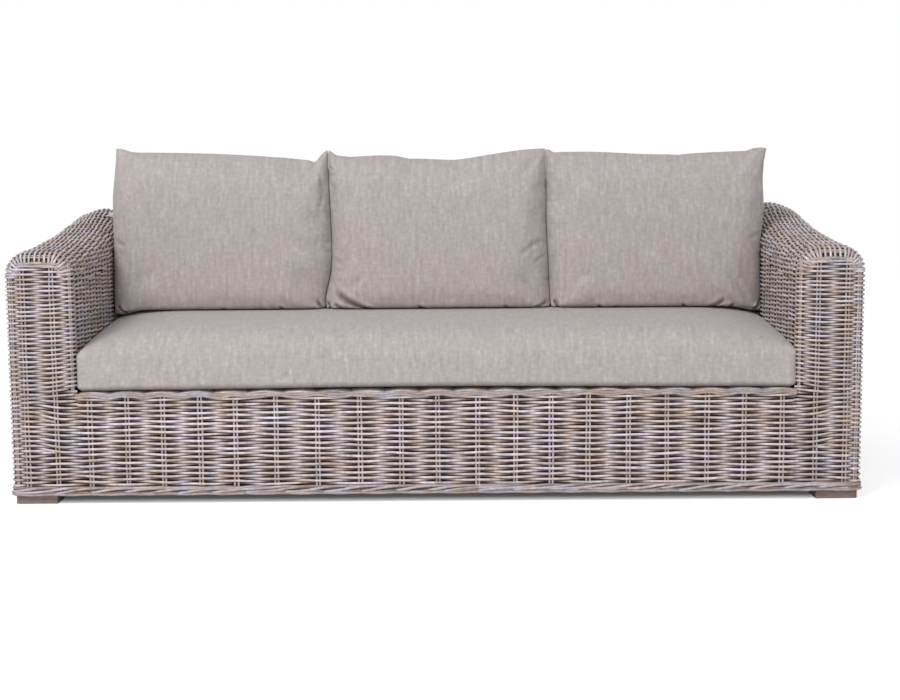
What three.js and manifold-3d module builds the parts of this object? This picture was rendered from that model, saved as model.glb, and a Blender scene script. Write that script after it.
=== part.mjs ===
// A three-seat garden sofa: a frame of rattan poles and timber rails, covered all over with
// woven cane, on four low wooden feet. One long seat cushion lies on the deck between the arms
// and three loose cushions stand on it against the back. Each cushion is a zipped cover over
// its filling, and each one lifts straight off. Millimetres, front towards -Y, +Z up, origin on
// the floor under the middle of the sofa.
import * as THREE from "three";
import { mergeVertices } from "three/addons/utils/BufferGeometryUtils.js";
import Module from "manifold-3d";

const wasm = await Module();
wasm.setup();

// Overall sizes
const overallWidth = 2316;
const overallDepth = 950;
const armWidth = 190;
const backThickness = 180;
const armFrontHeight = 688; // top of the arm at the front of the sofa
const backHeight = 767; // top of the woven back
const deckHeight = 306; // top of the deck that the seat cushion lies on

// Clearances
const touch = 0.3; // between pieces that rest against each other
const overrun = 20; // how far a cutting solid passes what it cuts

// Woven covering
const weave = 18.6; // strands in front of the stakes, the stakes, and strands behind them
const cornerRadius = 26; // upright corners
const edgeRadius = 65; // long top edges of the arms and back
const lipRadius = 35; // top edge at the front and rear end of an arm
const weaveSwell = 5.6; // the weave lies this much further out over a stake than between two
const swellEnd = 30; // a hollow between two stakes fades out over this height
const backStakeSpacing = 104;
const sideStakeSpacing = 81; // along the arms
const endStakeSpacing = 78; // between the two stakes across the end of an arm
const endStakeInset = 53; // from the sofa's outer faces to the first of them
// Stakes along the front between the arms, from the left to the right as the photo shows them
const apronStakes = [
  -935, -836, -739, -638, -541, -434, -321, -206, -95, 5, 111, 214, 312, 411, 520, 623, 732,
  833, 936,
];
const borderTop = 52; // the twisted border along the bottom runs from its foot to here
const borderBottom = 23;
const borderThickness = 11.7;
const borderRounding = 5;
const deckWeave = 18; // thickness of the woven deck and height of the border along its front
const deckEdgeRounding = 4;
const deckTuck = 40; // the deck runs this far under the back's woven face

// Rise of an arm's top from the front to the back: shares of the overall depth, and of the
// difference between the two heights
const armRiseShares = [
  [0.0, 0.0], [0.11, 0.03], [0.21, 0.07], [0.32, 0.15], [0.42, 0.23], [0.53, 0.33],
  [0.63, 0.47], [0.74, 0.66], [0.82, 0.82], [0.88, 0.95], [0.94, 1.0], [1.0, 1.0],
];

// Frame
const poleRadius = 20;
const railHeight = 40; // squared timber of the base
const railWidth = 36;
const boardThickness = 20; // shaped boards under the arms' and back's tops
const boardWidth = 120;
const boardDrop = 12; // the boards lie this far under the weave, clear of its rounded edges
const backBoardWidth = 96;
const bearerSpacing = 480; // poles that carry the deck, left and right of the middle

// Feet
const footWidth = 115;
const footDepth = 110;
const footInset = 12; // from the sofa's outer faces
const footRounding = 5;
const boltRadius = 4;
const boltHeadRadius = 7;
const boltHeadHeight = 5;
const boltClearance = 0.4;
const boltSink = 9; // depth of the counterbore in the foot
const boltBite = 28; // length of bolt in the rail
const boltInset = 80; // from the sofa's side, to the bolt

// Seat cushion
const seatSideGap = 3; // between the cushion and an arm
const seatFrontSetback = 12;
const seatBackGap = 13;
const seatTopHeight = 475; // where the back cushions stand on it
const seatThickness = seatTopHeight - deckHeight;
const seatWall = seatThickness * 0.57; // height of the upright sides
const seatRoundover = seatThickness * 0.2;
const seatUnderRounding = seatThickness * 0.07;
const seatCrown = seatThickness * 0.19; // before its middle is pressed flat
const seatDraw = 6; // how far its sides pull in between the corners

// Back cushions
const backSplit = 336; // from the middle of the sofa to the meeting of two cushions
const backCushionGap = 1; // left and right of each meeting
const backCushionTop = 952; // height of the top corners
const backCushionFoot = 542; // from the sofa's front to the middle of a cushion's base
const backCushionLean = 48; // how much further back its top seam is
const backCrownFront = 66; // fullness in front of the seam, and behind it
const backCrownRear = 190;
const backSeam = 9; // thickness at the seam
const backBaseShare = 0.92; // how full it is along its base, and along its sides
const backSideShare = 0.6;
const backDraw = 5;
const backSag = 17; // how far the top edge hangs between its corners
const restGap = 0.6; // between a cushion and the woven back it leans on

// Covers and zips
const coverThickness = 2;
const zipWidth = 16;
const zipPocket = 10; // depth of the pocket that the zip lies in
const zipThickness = 2;
const seatZipLength = 1200;
const backZipLength = 420;
const sliderLength = 14;
const sliderWidth = 10;
const sliderThickness = 3.4;
const tabLength = 24;
const tabWidth = 6;
const tabThickness = 1.6;
const sliderEnd = 12; // from the zip's end to the closed slider

// Counts of faces
const arcSteps = 4; // in a quarter turn
const poleSides = 16;
const riseSteps = 12;
const seatGrid = [16, 8];
const backGrid = [12, 8];

// Places worked out from the sizes above
const halfWidth = overallWidth / 2;
const halfDepth = overallDepth / 2;
const armInner = halfWidth - armWidth; // an arm's inner face
const backFace = halfDepth - backThickness; // the back's front face
const postInset = weave + touch + poleRadius; // from a woven face to the middle of a post
const outerPost = halfWidth - postInset;
const innerPost = armInner + postInset;
const frontPost = -halfDepth + postInset;
const rearPost = halfDepth - postInset;
const backPost = backFace + postInset;
const railBottom = borderTop;
const railTop = railBottom + railHeight;
const deckBottom = deckHeight - deckWeave;
const poleUnderDeck = deckBottom - touch - poleRadius;

const colours = {
  cane: [0x9c9088, 0.75],
  pole: [0xa98c66, 0.6],
  timber: [0xb49a74, 0.7],
  foot: [0x7b6553, 0.6],
  steel: [0x8f9296, 0.35],
  fabric: [0xb1a39b, 0.95],
  filling: [0xe8e2d4, 1.0],
  zip: [0x8c8078, 0.6],
};

const sofa = new THREE.Group();

function material(colour) {
  const [hex, roughness] = colours[colour];
  const metalness = colour === "steel" ? 1 : 0;
  return new THREE.MeshStandardMaterial({ color: hex, roughness, metalness });
}

function add(name, colour, geometry) {
  const mesh = new THREE.Mesh(geometry, material(colour));
  mesh.name = name;
  sofa.add(mesh);
}

// Joining and cutting
function solidOf(geometry) {
  const bare = new THREE.BufferGeometry();
  bare.setAttribute("position", geometry.getAttribute("position").clone());
  if (geometry.index) bare.setIndex(geometry.index.clone());
  const merged = mergeVertices(bare);
  const vertProperties = merged.getAttribute("position").array;
  const triVerts = new Uint32Array(merged.index.array);
  return new wasm.Manifold(new wasm.Mesh({ numProp: 3, vertProperties, triVerts }));
}

function geometryOf(solid) {
  const mesh = solid.getMesh();
  const geometry = new THREE.BufferGeometry();
  geometry.setAttribute("position", new THREE.BufferAttribute(mesh.vertProperties, 3));
  geometry.setIndex(new THREE.BufferAttribute(mesh.triVerts, 1));
  return geometry;
}

function cut(body, ...tools) {
  return tools.reduce((left, tool) => left.subtract(tool), body);
}

function join(first, ...others) {
  return others.reduce((whole, other) => whole.add(other), first);
}

// Basic shapes
function block([x0, y0, z0], [x1, y1, z1]) {
  const box = new THREE.BoxGeometry(x1 - x0, y1 - y0, z1 - z0);
  return box.translate((x0 + x1) / 2, (y0 + y1) / 2, (z0 + z1) / 2);
}

function pole(from, to, radius = poleRadius) {
  const start = new THREE.Vector3(...from);
  const along = new THREE.Vector3(...to).sub(start);
  const rod = new THREE.CylinderGeometry(radius, radius, along.length(), poleSides);
  const turn = new THREE.Quaternion().setFromUnitVectors(
    new THREE.Vector3(0, 1, 0), along.clone().normalize());
  rod.applyQuaternion(turn);
  return rod.translate(...start.addScaledVector(along, 1 / 2).toArray());
}

function roundedRectangle(x0, y0, x1, y1, radius) {
  const shape = new THREE.Shape();
  shape.moveTo(x0 + radius, y0);
  shape.lineTo(x1 - radius, y0);
  shape.absarc(x1 - radius, y0 + radius, radius, -Math.PI / 2, 0);
  shape.lineTo(x1, y1 - radius);
  shape.absarc(x1 - radius, y1 - radius, radius, 0, Math.PI / 2);
  shape.lineTo(x0 + radius, y1);
  shape.absarc(x0 + radius, y1 - radius, radius, Math.PI / 2, Math.PI);
  shape.lineTo(x0, y0 + radius);
  shape.absarc(x0 + radius, y0 + radius, radius, Math.PI, 1.5 * Math.PI);
  return shape;
}

// An outline in plan, standing from one height to another
function upright(shape, bottom, top) {
  const settings = { depth: top - bottom, bevelEnabled: false, curveSegments: arcSteps };
  return new THREE.ExtrudeGeometry(shape, settings).translate(0, 0, bottom);
}

// An outline seen from the sofa's right-hand side (across is +Y, up is +Z), from x0 to x1
function crosswise(shape, x0, x1) {
  const settings = { depth: x1 - x0, bevelEnabled: false, curveSegments: arcSteps };
  const geometry = new THREE.ExtrudeGeometry(shape, settings);
  geometry.rotateX(Math.PI / 2).rotateZ(Math.PI / 2);
  return geometry.translate(x0, 0, 0);
}

function mirrored(solid) {
  return solid.mirror([1, 0, 0]);
}

// The arm's top line: [y, z] points from the front to the rear, without the rounded lips
const riseCurve = new THREE.SplineCurve(
  armRiseShares.map(([depthShare, riseShare]) => new THREE.Vector2(
    -halfDepth + depthShare * overallDepth,
    armFrontHeight + riseShare * (backHeight - armFrontHeight))));
const topLine = riseCurve.getPoints(riseSteps * armRiseShares.length);

function armTop(y) {
  const after = Math.max(1, topLine.findIndex((point) => point.x >= y));
  const [a, b] = [topLine[after - 1], topLine[after]];
  return a.y + ((y - a.x) / (b.x - a.x)) * (b.y - a.y);
}

// Stations along an arm for a solid that lies inset inside the woven face
function armStations(inset) {
  const front = -halfDepth + inset;
  const rear = halfDepth - inset;
  const radius = lipRadius - inset;
  const stations = [];
  for (let step = 0; step < arcSteps; step += 1) {
    const angle = (step / arcSteps) * (Math.PI / 2);
    const y = front + radius * (1 - Math.cos(angle));
    stations.push([y, armTop(y) - inset - radius * (1 - Math.sin(angle))]);
  }
  for (let step = 0; step <= riseSteps; step += 1) {
    const y = front + radius + (step / riseSteps) * (rear - front - 2 * radius);
    stations.push([y, armTop(y) - inset]);
  }
  for (let step = arcSteps - 1; step >= 0; step -= 1) {
    const angle = (step / arcSteps) * (Math.PI / 2);
    const y = rear - radius * (1 - Math.cos(angle));
    stations.push([y, armTop(y) - inset - radius * (1 - Math.sin(angle))]);
  }
  return stations;
}

// A closed skin over rings of points that all have the same count
function loft(rings) {
  const count = rings[0].length;
  const points = rings.flat(2);
  const faces = [];
  for (let ring = 0; ring + 1 < rings.length; ring += 1) {
    for (let corner = 0; corner < count; corner += 1) {
      const a = ring * count + corner;
      const b = ring * count + ((corner + 1) % count);
      faces.push(a, b, b + count, a, b + count, a + count);
    }
  }
  const last = (rings.length - 1) * count;
  for (let corner = 1; corner + 1 < count; corner += 1) {
    faces.push(0, corner + 1, corner, last, last + corner, last + corner + 1);
  }
  const geometry = new THREE.BufferGeometry();
  geometry.setAttribute("position", new THREE.Float32BufferAttribute(points, 3));
  geometry.setIndex(faces);
  return geometry;
}

// The right-hand arm as a solid block, inset inside its woven face
function armBlock(inset, bottom) {
  const left = armInner + inset;
  const right = halfWidth - inset;
  const radius = edgeRadius - inset;
  const rings = armStations(inset).map(([y, top]) => {
    const ring = [[left, y, bottom], [right, y, bottom]];
    for (let step = 0; step <= arcSteps; step += 1) {
      const angle = (step / arcSteps) * (Math.PI / 2);
      const [x, z] = [right - radius, top - radius];
      ring.push([x + radius * Math.cos(angle), y, z + radius * Math.sin(angle)]);
    }
    for (let step = 0; step <= arcSteps; step += 1) {
      const angle = (1 + step / arcSteps) * (Math.PI / 2);
      const [x, z] = [left + radius, top - radius];
      ring.push([x + radius * Math.cos(angle), y, z + radius * Math.sin(angle)]);
    }
    return ring.reverse();
  });
  const plan = roundedRectangle(left, -halfDepth + inset, right, halfDepth - inset,
    cornerRadius - inset);
  return solidOf(loft(rings)).intersect(solidOf(upright(plan, bottom, backHeight)));
}

// The back as a solid block that runs into the arms' flat tops
function backBlock(inset, bottom) {
  const radius = edgeRadius - inset;
  const reach = halfWidth - edgeRadius;
  const [front, rear] = [backFace + inset, halfDepth - inset];
  const top = backHeight - inset;
  const shape = new THREE.Shape();
  shape.moveTo(front, bottom);
  shape.lineTo(rear, bottom);
  shape.lineTo(rear, top - radius);
  shape.absarc(rear - radius, top - radius, radius, 0, Math.PI / 2);
  shape.lineTo(front + radius, top);
  shape.absarc(front + radius, top - radius, radius, Math.PI / 2, Math.PI);
  return solidOf(crosswise(shape, -reach, reach));
}

// Both arms and the back in one
function upperBlock(inset, bottom) {
  const arm = armBlock(inset, bottom);
  return join(backBlock(inset, bottom), arm, mirrored(arm));
}

// The base below the deck, as one low block
function baseBlock(inset, bottom, top) {
  const plan = roundedRectangle(-halfWidth + inset, -halfDepth + inset, halfWidth - inset,
    halfDepth - inset, cornerRadius - inset);
  return solidOf(upright(plan, bottom, top));
}

// A shallow upright hollow in a woven face between stakes at a and b in plan. The face looks
// to the right of the way from a to b, and the hollow fades out below `top`.
function hollow(a, b, top) {
  const along = new THREE.Vector2(...b).sub(new THREE.Vector2(...a));
  const inward = new THREE.Vector2(-along.y, along.x).normalize();
  const profile = [
    [0.07, -overrun], [0.07, -touch], [0.25, weaveSwell * 0.3], [0.5, weaveSwell],
    [0.75, weaveSwell * 0.3], [0.93, -touch], [0.93, -overrun],
  ];
  const ring = (z, share) => profile.map(([place, depth]) => {
    const deep = depth > 0 ? depth * share - touch * (1 - share) : depth;
    return [a[0] + place * along.x + deep * inward.x, a[1] + place * along.y + deep * inward.y, z];
  }).reverse();
  return solidOf(loft([ring(0, 1), ring(top - swellEnd, 1), ring(top, 0)]));
}

function hollows(stakes, top) {
  return stakes.slice(1).map((b, index) => {
    const a = stakes[index];
    return hollow(a, b, top(a[1], b[1]));
  });
}

// Places from `from` to `to`, at equal steps of about `spacing`
function spread(from, to, spacing) {
  const count = Math.round(Math.abs(to - from) / spacing);
  return [...Array(count + 1).keys()].map((step) => from + (step / count) * (to - from));
}

function armHollows() {
  const outer = halfWidth - endStakeInset;
  const ends = [armInner + touch * overrun, outer - endStakeSpacing, outer];
  const reach = halfDepth - endStakeInset - swellEnd / 2;
  const sideTop = (ya, yb) => Math.min(armTop(ya), armTop(yb)) - edgeRadius;
  const front = ends.map((x) => [x, -halfDepth]);
  const rear = ends.map((x) => [x, halfDepth]).reverse();
  const outside = spread(-reach, reach, sideStakeSpacing).map((y) => [halfWidth, y]);
  const inside = spread(backFace - sideStakeSpacing, cornerRadius - halfDepth,
    sideStakeSpacing).map((y) => [armInner, y]);
  return [
    ...hollows(front, () => armFrontHeight - edgeRadius),
    ...hollows(rear, () => backHeight - edgeRadius),
    ...hollows(outside, sideTop), ...hollows(inside, sideTop),
  ];
}

function middleHollows() {
  const last = Math.floor(armInner / backStakeSpacing) * backStakeSpacing;
  const places = spread(-last, last, backStakeSpacing);
  const upper = () => backHeight - edgeRadius;
  return [
    ...hollows(apronStakes.map((x) => [x, -halfDepth]), () => deckHeight),
    ...hollows(places.map((x) => [-x, halfDepth]), upper),
    ...hollows(places.map((x) => [x, backFace]), upper),
  ];
}

function weaving() {
  const bottom = borderTop + touch;
  const outside = join(baseBlock(0, bottom, deckBottom), upperBlock(0, bottom));
  const inside = join(baseBlock(weave, 0, deckHeight), upperBlock(weave, 0));
  const skin = cut(outside, inside);
  const seam = touch / 2;
  const low = [-armInner - seam, -halfDepth - overrun, 0];
  const high = [armInner + seam, halfDepth + overrun, backHeight + overrun];
  const right = cut(skin.intersect(solidOf(block([armInner + seam, low[1], 0],
    [halfWidth + overrun, high[1], high[2]]))), ...armHollows());
  const middle = cut(skin.intersect(solidOf(block([low[0] + touch, low[1], 0],
    [high[0] - touch, high[1], high[2]]))), ...middleHollows());
  const half = solidOf(block([-halfWidth, -halfDepth - overrun, 0],
    [halfWidth, 0, backHeight + overrun]));
  add("right_arm_weave", "cane", geometryOf(right));
  add("left_arm_weave", "cane", geometryOf(mirrored(right)));
  add("front_apron_weave", "cane", geometryOf(middle.intersect(half)));
  add("back_weave", "cane", geometryOf(cut(middle, half)));
  add("seat_deck_weave", "cane", block(
    [-armInner - weave + touch, -halfDepth + weave + touch, deckBottom],
    [armInner + weave - touch, backFace + deckTuck, deckHeight - touch]));
}

// Border strips along the bottom of the weave, and along the front of the deck
function borders() {
  const bend = halfWidth - cornerRadius;
  const inner = halfDepth - borderThickness;
  const straight = roundedRectangle(-halfDepth, borderBottom, -inner, borderTop,
    borderRounding);
  const front = solidOf(crosswise(straight, -bend + touch / 2, bend - touch / 2));
  add("bottom_border_front", "cane", geometryOf(front));
  add("bottom_border_back", "cane", geometryOf(front.mirror([0, 1, 0])));
  const ring = cut(baseBlock(0, borderBottom, borderTop),
    baseBlock(borderThickness, 0, borderTop + overrun));
  const side = ring.intersect(solidOf(block(
    [bend + touch / 2, -halfDepth - overrun, 0],
    [halfWidth + overrun, halfDepth + overrun, borderTop + overrun])));
  add("bottom_border_right", "cane", geometryOf(side));
  add("bottom_border_left", "cane", geometryOf(mirrored(side)));
  const edge = roundedRectangle(-halfDepth, deckBottom + touch, -halfDepth + weave,
    deckHeight - touch, deckEdgeRounding);
  add("deck_front_border", "cane", crosswise(edge, -armInner + touch, armInner - touch));
}

// A band that follows an arm's top, seen from the side: its upper edge lies `drop` under the
// weave and its lower edge where `lower` puts it
function armBand(drop, lower) {
  const front = -halfDepth + weave + touch;
  const rear = -front;
  const steps = [...Array(riseSteps + 1).keys()].map(
    (step) => front + (step / riseSteps) * (rear - front));
  const line = steps.map((y) => [y, armTop(y) - weave - drop]);
  const back = steps.map((y) => [y, lower(armTop(y) - weave - drop)]).reverse();
  const shape = new THREE.Shape();
  shape.moveTo(...line[0]);
  [...line.slice(1), ...back].forEach((point) => shape.lineTo(...point));
  return shape;
}

function armFrame() {
  const middle = halfWidth - armWidth / 2;
  const board = solidOf(crosswise(armBand(boardDrop, (z) => z - boardThickness),
    middle - boardWidth / 2, middle + boardWidth / 2));
  const space = armBlock(weave + touch, 0);
  const shaped = board.intersect(space);
  add("right_arm_top_board", "timber", geometryOf(shaped));
  add("left_arm_top_board", "timber", geometryOf(mirrored(shaped)));
  const below = space.intersect(solidOf(crosswise(
    armBand(boardDrop + boardThickness + touch, () => 0), 0, halfWidth)));
  const posts = [
    ["front_outer_post", outerPost, frontPost, railBottom],
    ["front_inner_post", innerPost, frontPost, railTop + touch],
    ["rear_outer_post", outerPost, rearPost, railBottom],
    ["rear_inner_post", innerPost, backPost, railTop + touch],
  ];
  posts.forEach(([name, x, y, bottom]) => {
    const post = solidOf(pole([x, y, bottom], [x, y, backHeight])).intersect(below);
    add("right_" + name, "pole", geometryOf(post));
    add("left_" + name, "pole", geometryOf(mirrored(post)));
  });
}

function backFrame() {
  const middle = (backFace + halfDepth) / 2;
  const top = backHeight - weave - boardDrop;
  const reach = halfWidth - armWidth / 2 - boardWidth / 2 - touch;
  add("back_top_board", "timber", block(
    [-reach, middle - backBoardWidth / 2, top - boardThickness],
    [reach, middle + backBoardWidth / 2, top]));
  const postTop = top - boardThickness - touch;
  const space = backBlock(weave + touch, 0);
  const posts = [["inner", backPost, deckHeight], ["rear", rearPost, railTop + touch]];
  posts.forEach(([name, y, bottom]) => {
    const post = solidOf(pole([0, y, bottom], [0, y, postTop])).intersect(space);
    add("back_post_" + name, "pole", geometryOf(post));
  });
}

function boltPlaces() {
  const x = halfWidth - boltInset;
  return [
    ["front_right", x, frontPost], ["front_left", -x, frontPost],
    ["back_right", x, rearPost], ["back_left", -x, rearPost],
  ];
}

function baseFrame() {
  const face = weave + touch;
  const postSide = poleRadius + touch;
  const holes = boltPlaces().map(([, x, y]) => solidOf(pole(
    [x, y, railBottom - overrun], [x, y, railBottom + boltBite + boltClearance],
    boltRadius + boltClearance)));
  const front = block([-outerPost + postSide, -halfDepth + face, railBottom],
    [outerPost - postSide, -halfDepth + face + railWidth, railTop]);
  add("base_rail_front", "timber", geometryOf(cut(solidOf(front), ...holes)));
  const back = block([-outerPost + postSide, halfDepth - face - railWidth, railBottom],
    [outerPost - postSide, halfDepth - face, railTop]);
  add("base_rail_back", "timber", geometryOf(cut(solidOf(back), ...holes)));
  const ends = -frontPost - postSide;
  const side = block([halfWidth - face - railWidth, -ends, railBottom],
    [halfWidth - face, ends, railTop]);
  add("base_rail_right", "timber", side);
  add("base_rail_left", "timber", geometryOf(mirrored(solidOf(side))));
  const crossReach = halfWidth - face - railWidth - touch;
  add("base_rail_cross", "timber", block(
    [-crossReach, backPost - railWidth / 2, railBottom],
    [crossReach, backPost + railWidth / 2, railTop]));
}

function seatFrame() {
  const z = poleUnderDeck;
  const reach = innerPost - poleRadius - touch;
  add("seat_rail_front", "pole", pole([-reach, frontPost, z], [reach, frontPost, z]));
  add("seat_rail_back", "pole", pole([-reach, backPost, z], [reach, backPost, z]));
  const bearers = [["left", -bearerSpacing], ["middle", 0], ["right", bearerSpacing]];
  bearers.forEach(([side, x]) => {
    add("seat_bearer_" + side, "pole", pole([x, frontPost + poleRadius + touch, z],
      [x, backPost - poleRadius - touch, z]));
  });
  const propTop = z - poleRadius - touch;
  add("seat_prop_front", "pole", pole([0, frontPost, railTop + touch], [0, frontPost, propTop]));
  add("seat_prop_back", "pole", pole([0, backPost, railTop + touch], [0, backPost, propTop]));
}

function feet() {
  const top = railBottom - touch;
  const outer = halfWidth - footInset;
  const front = -halfDepth + footInset;
  const plan = roundedRectangle(outer - footWidth, front, outer, front + footDepth,
    footRounding);
  const blank = solidOf(upright(plan, 0, top)).intersect(baseBlock(footInset, 0, top));
  const [, x, y] = boltPlaces()[0];
  const bore = solidOf(pole([x, y, -overrun], [x, y, top + overrun],
    boltRadius + boltClearance));
  const sink = solidOf(pole([x, y, -overrun], [x, y, boltSink],
    boltHeadRadius + boltClearance));
  const foot = cut(blank, bore, sink);
  const head = solidOf(pole([x, y, boltSink + touch - boltHeadHeight],
    [x, y, boltSink - touch], boltHeadRadius));
  const shank = solidOf(pole([x, y, boltSink - touch - boltHeadHeight / 2],
    [x, y, railBottom + boltBite], boltRadius));
  const bolt = join(head, shank);
  const turned = [
    ["front_right", (solid) => solid], ["front_left", mirrored],
    ["back_right", (solid) => solid.mirror([0, 1, 0])],
    ["back_left", (solid) => mirrored(solid.mirror([0, 1, 0]))],
  ];
  turned.forEach(([corner, turn]) => {
    add("foot_" + corner, "foot", geometryOf(turn(foot)));
    add("foot_bolt_" + corner, "steel", geometryOf(turn(bolt)));
  });
}

// A closed form of two faces that share their outline. Each face is a function of u and v,
// both from -1 to 1, and the steps are closer together towards the seam.
function pillow([uCount, vCount], upper, lower) {
  const place = (step, count) => Math.sin((step / count - 1 / 2) * Math.PI);
  const points = [];
  [upper, lower].forEach((face) => {
    for (let j = 0; j <= vCount; j += 1) {
      for (let i = 0; i <= uCount; i += 1) {
        points.push(...face(place(i, uCount), place(j, vCount)));
      }
    }
  });
  const at = (i, j) => j * (uCount + 1) + i;
  const lowerStart = (uCount + 1) * (vCount + 1);
  const faces = [];
  for (let j = 0; j < vCount; j += 1) {
    for (let i = 0; i < uCount; i += 1) {
      const [a, b, c, d] = [at(i, j), at(i + 1, j), at(i + 1, j + 1), at(i, j + 1)];
      faces.push(a, b, c, a, c, d);
      faces.push(...[a, c, b, a, d, c].map((corner) => corner + lowerStart));
    }
  }
  const seam = [];
  for (let i = 0; i < uCount; i += 1) seam.push(at(i, 0));
  for (let j = 0; j < vCount; j += 1) seam.push(at(uCount, j));
  for (let i = uCount; i > 0; i -= 1) seam.push(at(i, vCount));
  for (let j = vCount; j > 0; j -= 1) seam.push(at(0, j));
  seam.forEach((a, index) => {
    const b = seam[(index + 1) % seam.length];
    faces.push(b, a, a + lowerStart, b, a + lowerStart, b + lowerStart);
  });
  const geometry = new THREE.BufferGeometry();
  geometry.setAttribute("position", new THREE.Float32BufferAttribute(points, 3));
  geometry.setIndex(faces);
  return solidOf(geometry);
}

// Fullness of a padded face: 0 at its outline, 1 over most of the middle, and the squarer the
// sharper its edge
function fullness(u, v, squareU, squareV) {
  const across = 1 - Math.abs(u) ** squareU;
  const along = 1 - Math.abs(v) ** squareV;
  return Math.sqrt(Math.max(0, across * along));
}

const seatPlace = {
  left: -armInner + seatSideGap,
  right: armInner - seatSideGap,
  front: -halfDepth + seatFrontSetback,
  rear: backFace - seatBackGap,
  bottom: deckHeight,
};

// The seat cushion's form, with everything inset by a thickness
function seatForm(inset) {
  const { left, right, front, rear, bottom } = seatPlace;
  const middle = (front + rear) / 2;
  const halfAcross = (right - left) / 2 - inset;
  const halfAlong = (rear - front) / 2 - inset;
  const [squareU, squareV, crownSquare, crownFull] = [40, 14, 8, 1.25];
  const outline = (u, v) => [
    u * (halfAcross - seatDraw * (1 - v * v) * Math.abs(u)),
    middle + v * (halfAlong - seatDraw * (1 - u * u) * Math.abs(v)),
  ];
  const wallTop = bottom + seatUnderRounding + seatWall;
  const upper = (u, v) => {
    const rise = Math.sin((Math.PI / 2) * Math.min(1, (v + 1) / crownFull));
    const crown = seatCrown * rise * (1 - Math.abs(u) ** crownSquare);
    const top = wallTop + seatRoundover * fullness(u, v, squareU, squareV) + crown - inset;
    return [...outline(u, v), Math.min(top, seatTopHeight - inset)];
  };
  const lower = (u, v) => {
    const lift = seatUnderRounding * (1 - fullness(u, v, squareU, squareU));
    return [...outline(u, v), bottom + lift + inset];
  };
  return pillow(seatGrid, upper, lower);
}

// A back cushion's form between two upright planes. It stands on the seat cushion.
function backForm(leftSide, rightSide, inset) {
  const base = seatTopHeight + touch;
  const height = backCushionTop - base;
  const middle = (leftSide + rightSide) / 2;
  const halfAcross = (rightSide - leftSide) / 2 - inset;
  const [squareU, squareTop, squareBase] = [3.2, 3.2, 9];
  const point = (u, v, side) => {
    const hanging = backSag * (1 - u * u) * Math.max(0, v) ** 4;
    const pull = backDraw * (1 - v * v) * Math.abs(u);
    const share = (v + 1) / 2;
    const z = base + inset + share * (height - 2 * inset) - hanging;
    const stand = Math.max(0, -v) ** 3 * Math.sqrt(1 - Math.abs(u) ** squareBase);
    const flank = Math.abs(u) ** squareBase * (1 - Math.abs(v) ** squareU);
    const full = fullness(u, v, squareU, v < 0 ? squareBase : squareTop);
    const slack = (1 - full) * (1 - backBaseShare * stand) * (1 - backSideShare * flank);
    const crown = side < 0 ? backCrownFront : backCrownRear;
    const depth = backSeam / 2 + (crown - backSeam / 2) * (1 - slack) - inset;
    const y = -halfDepth + backCushionFoot + backCushionLean * share + side * depth;
    const wall = backFace - restGap - inset;
    return [middle + u * (halfAcross - pull), Math.min(y, wall), z];
  };
  return pillow(backGrid, (u, v) => point(u, v, -1), (u, v) => point(u, v, 1));
}

// A cushion: its cover, open along the zip's pocket, the filling, the zip and its slider.
// The pocket and the parts of the zip are boxes with `depth` measured out of the cushion.
function cushion(name, form, zipBox, length) {
  const pocket = solidOf(zipBox(length, zipWidth, 0, overrun + zipPocket));
  const cover = cut(form(0), form(coverThickness), pocket);
  add(name + "_cover", "fabric", geometryOf(cover));
  const filling = cut(form(coverThickness + touch), pocket);
  add(name + "_filling", "filling", geometryOf(filling));
  const tapeTop = touch + zipThickness;
  add(name + "_zip", "zip", zipBox(length - 2 * touch, zipWidth - 2 * touch, touch, tapeTop));
  const closed = length / 2 - sliderEnd - sliderLength / 2;
  const low = tapeTop + touch;
  const body = zipBox(sliderLength, sliderWidth, low, low + sliderThickness, closed);
  const tab = zipBox(tabLength, tabWidth, low + sliderThickness - tabThickness,
    low + sliderThickness, closed - tabLength / 2);
  add(name + "_zip_slider", "steel", geometryOf(join(solidOf(body), solidOf(tab))));
}

function seatCushion() {
  const pocketFloor = seatPlace.rear - seatDraw - zipPocket;
  const height = seatPlace.bottom + seatUnderRounding + seatWall / 2;
  const zipBox = (length, width, from, to, x = 0) => block(
    [x - length / 2, pocketFloor + from, height - width / 2],
    [x + length / 2, pocketFloor + to, height + width / 2]);
  cushion("seat_cushion", seatForm, zipBox, seatZipLength);
}

function backCushions() {
  const edge = seatPlace.right;
  const sides = [
    ["left", -edge, -backSplit - backCushionGap],
    ["centre", -backSplit + backCushionGap, backSplit - backCushionGap],
    ["right", backSplit + backCushionGap, edge],
  ];
  const ceiling = seatTopHeight + touch + zipPocket;
  const y = -halfDepth + backCushionFoot;
  sides.forEach(([side, left, right]) => {
    const middle = (left + right) / 2;
    const zipBox = (length, width, from, to, x = 0) => block(
      [middle + x - length / 2, y - width / 2, ceiling - to],
      [middle + x + length / 2, y + width / 2, ceiling - from]);
    const form = (inset) => backForm(left, right, inset);
    cushion("back_cushion_" + side, form, zipBox, backZipLength);
  });
}

feet();
baseFrame();
armFrame();
seatFrame();
backFrame();
weaving();
borders();
seatCushion();
backCushions();

export default sofa;
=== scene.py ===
# The looks of a three-seat woven garden sofa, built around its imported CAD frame. Metres, front
# towards -Y, +Z up, origin on the floor under the middle of the sofa.
import math

import bmesh
import bpy
import numpy as np
from mathutils import Matrix, Vector


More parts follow.
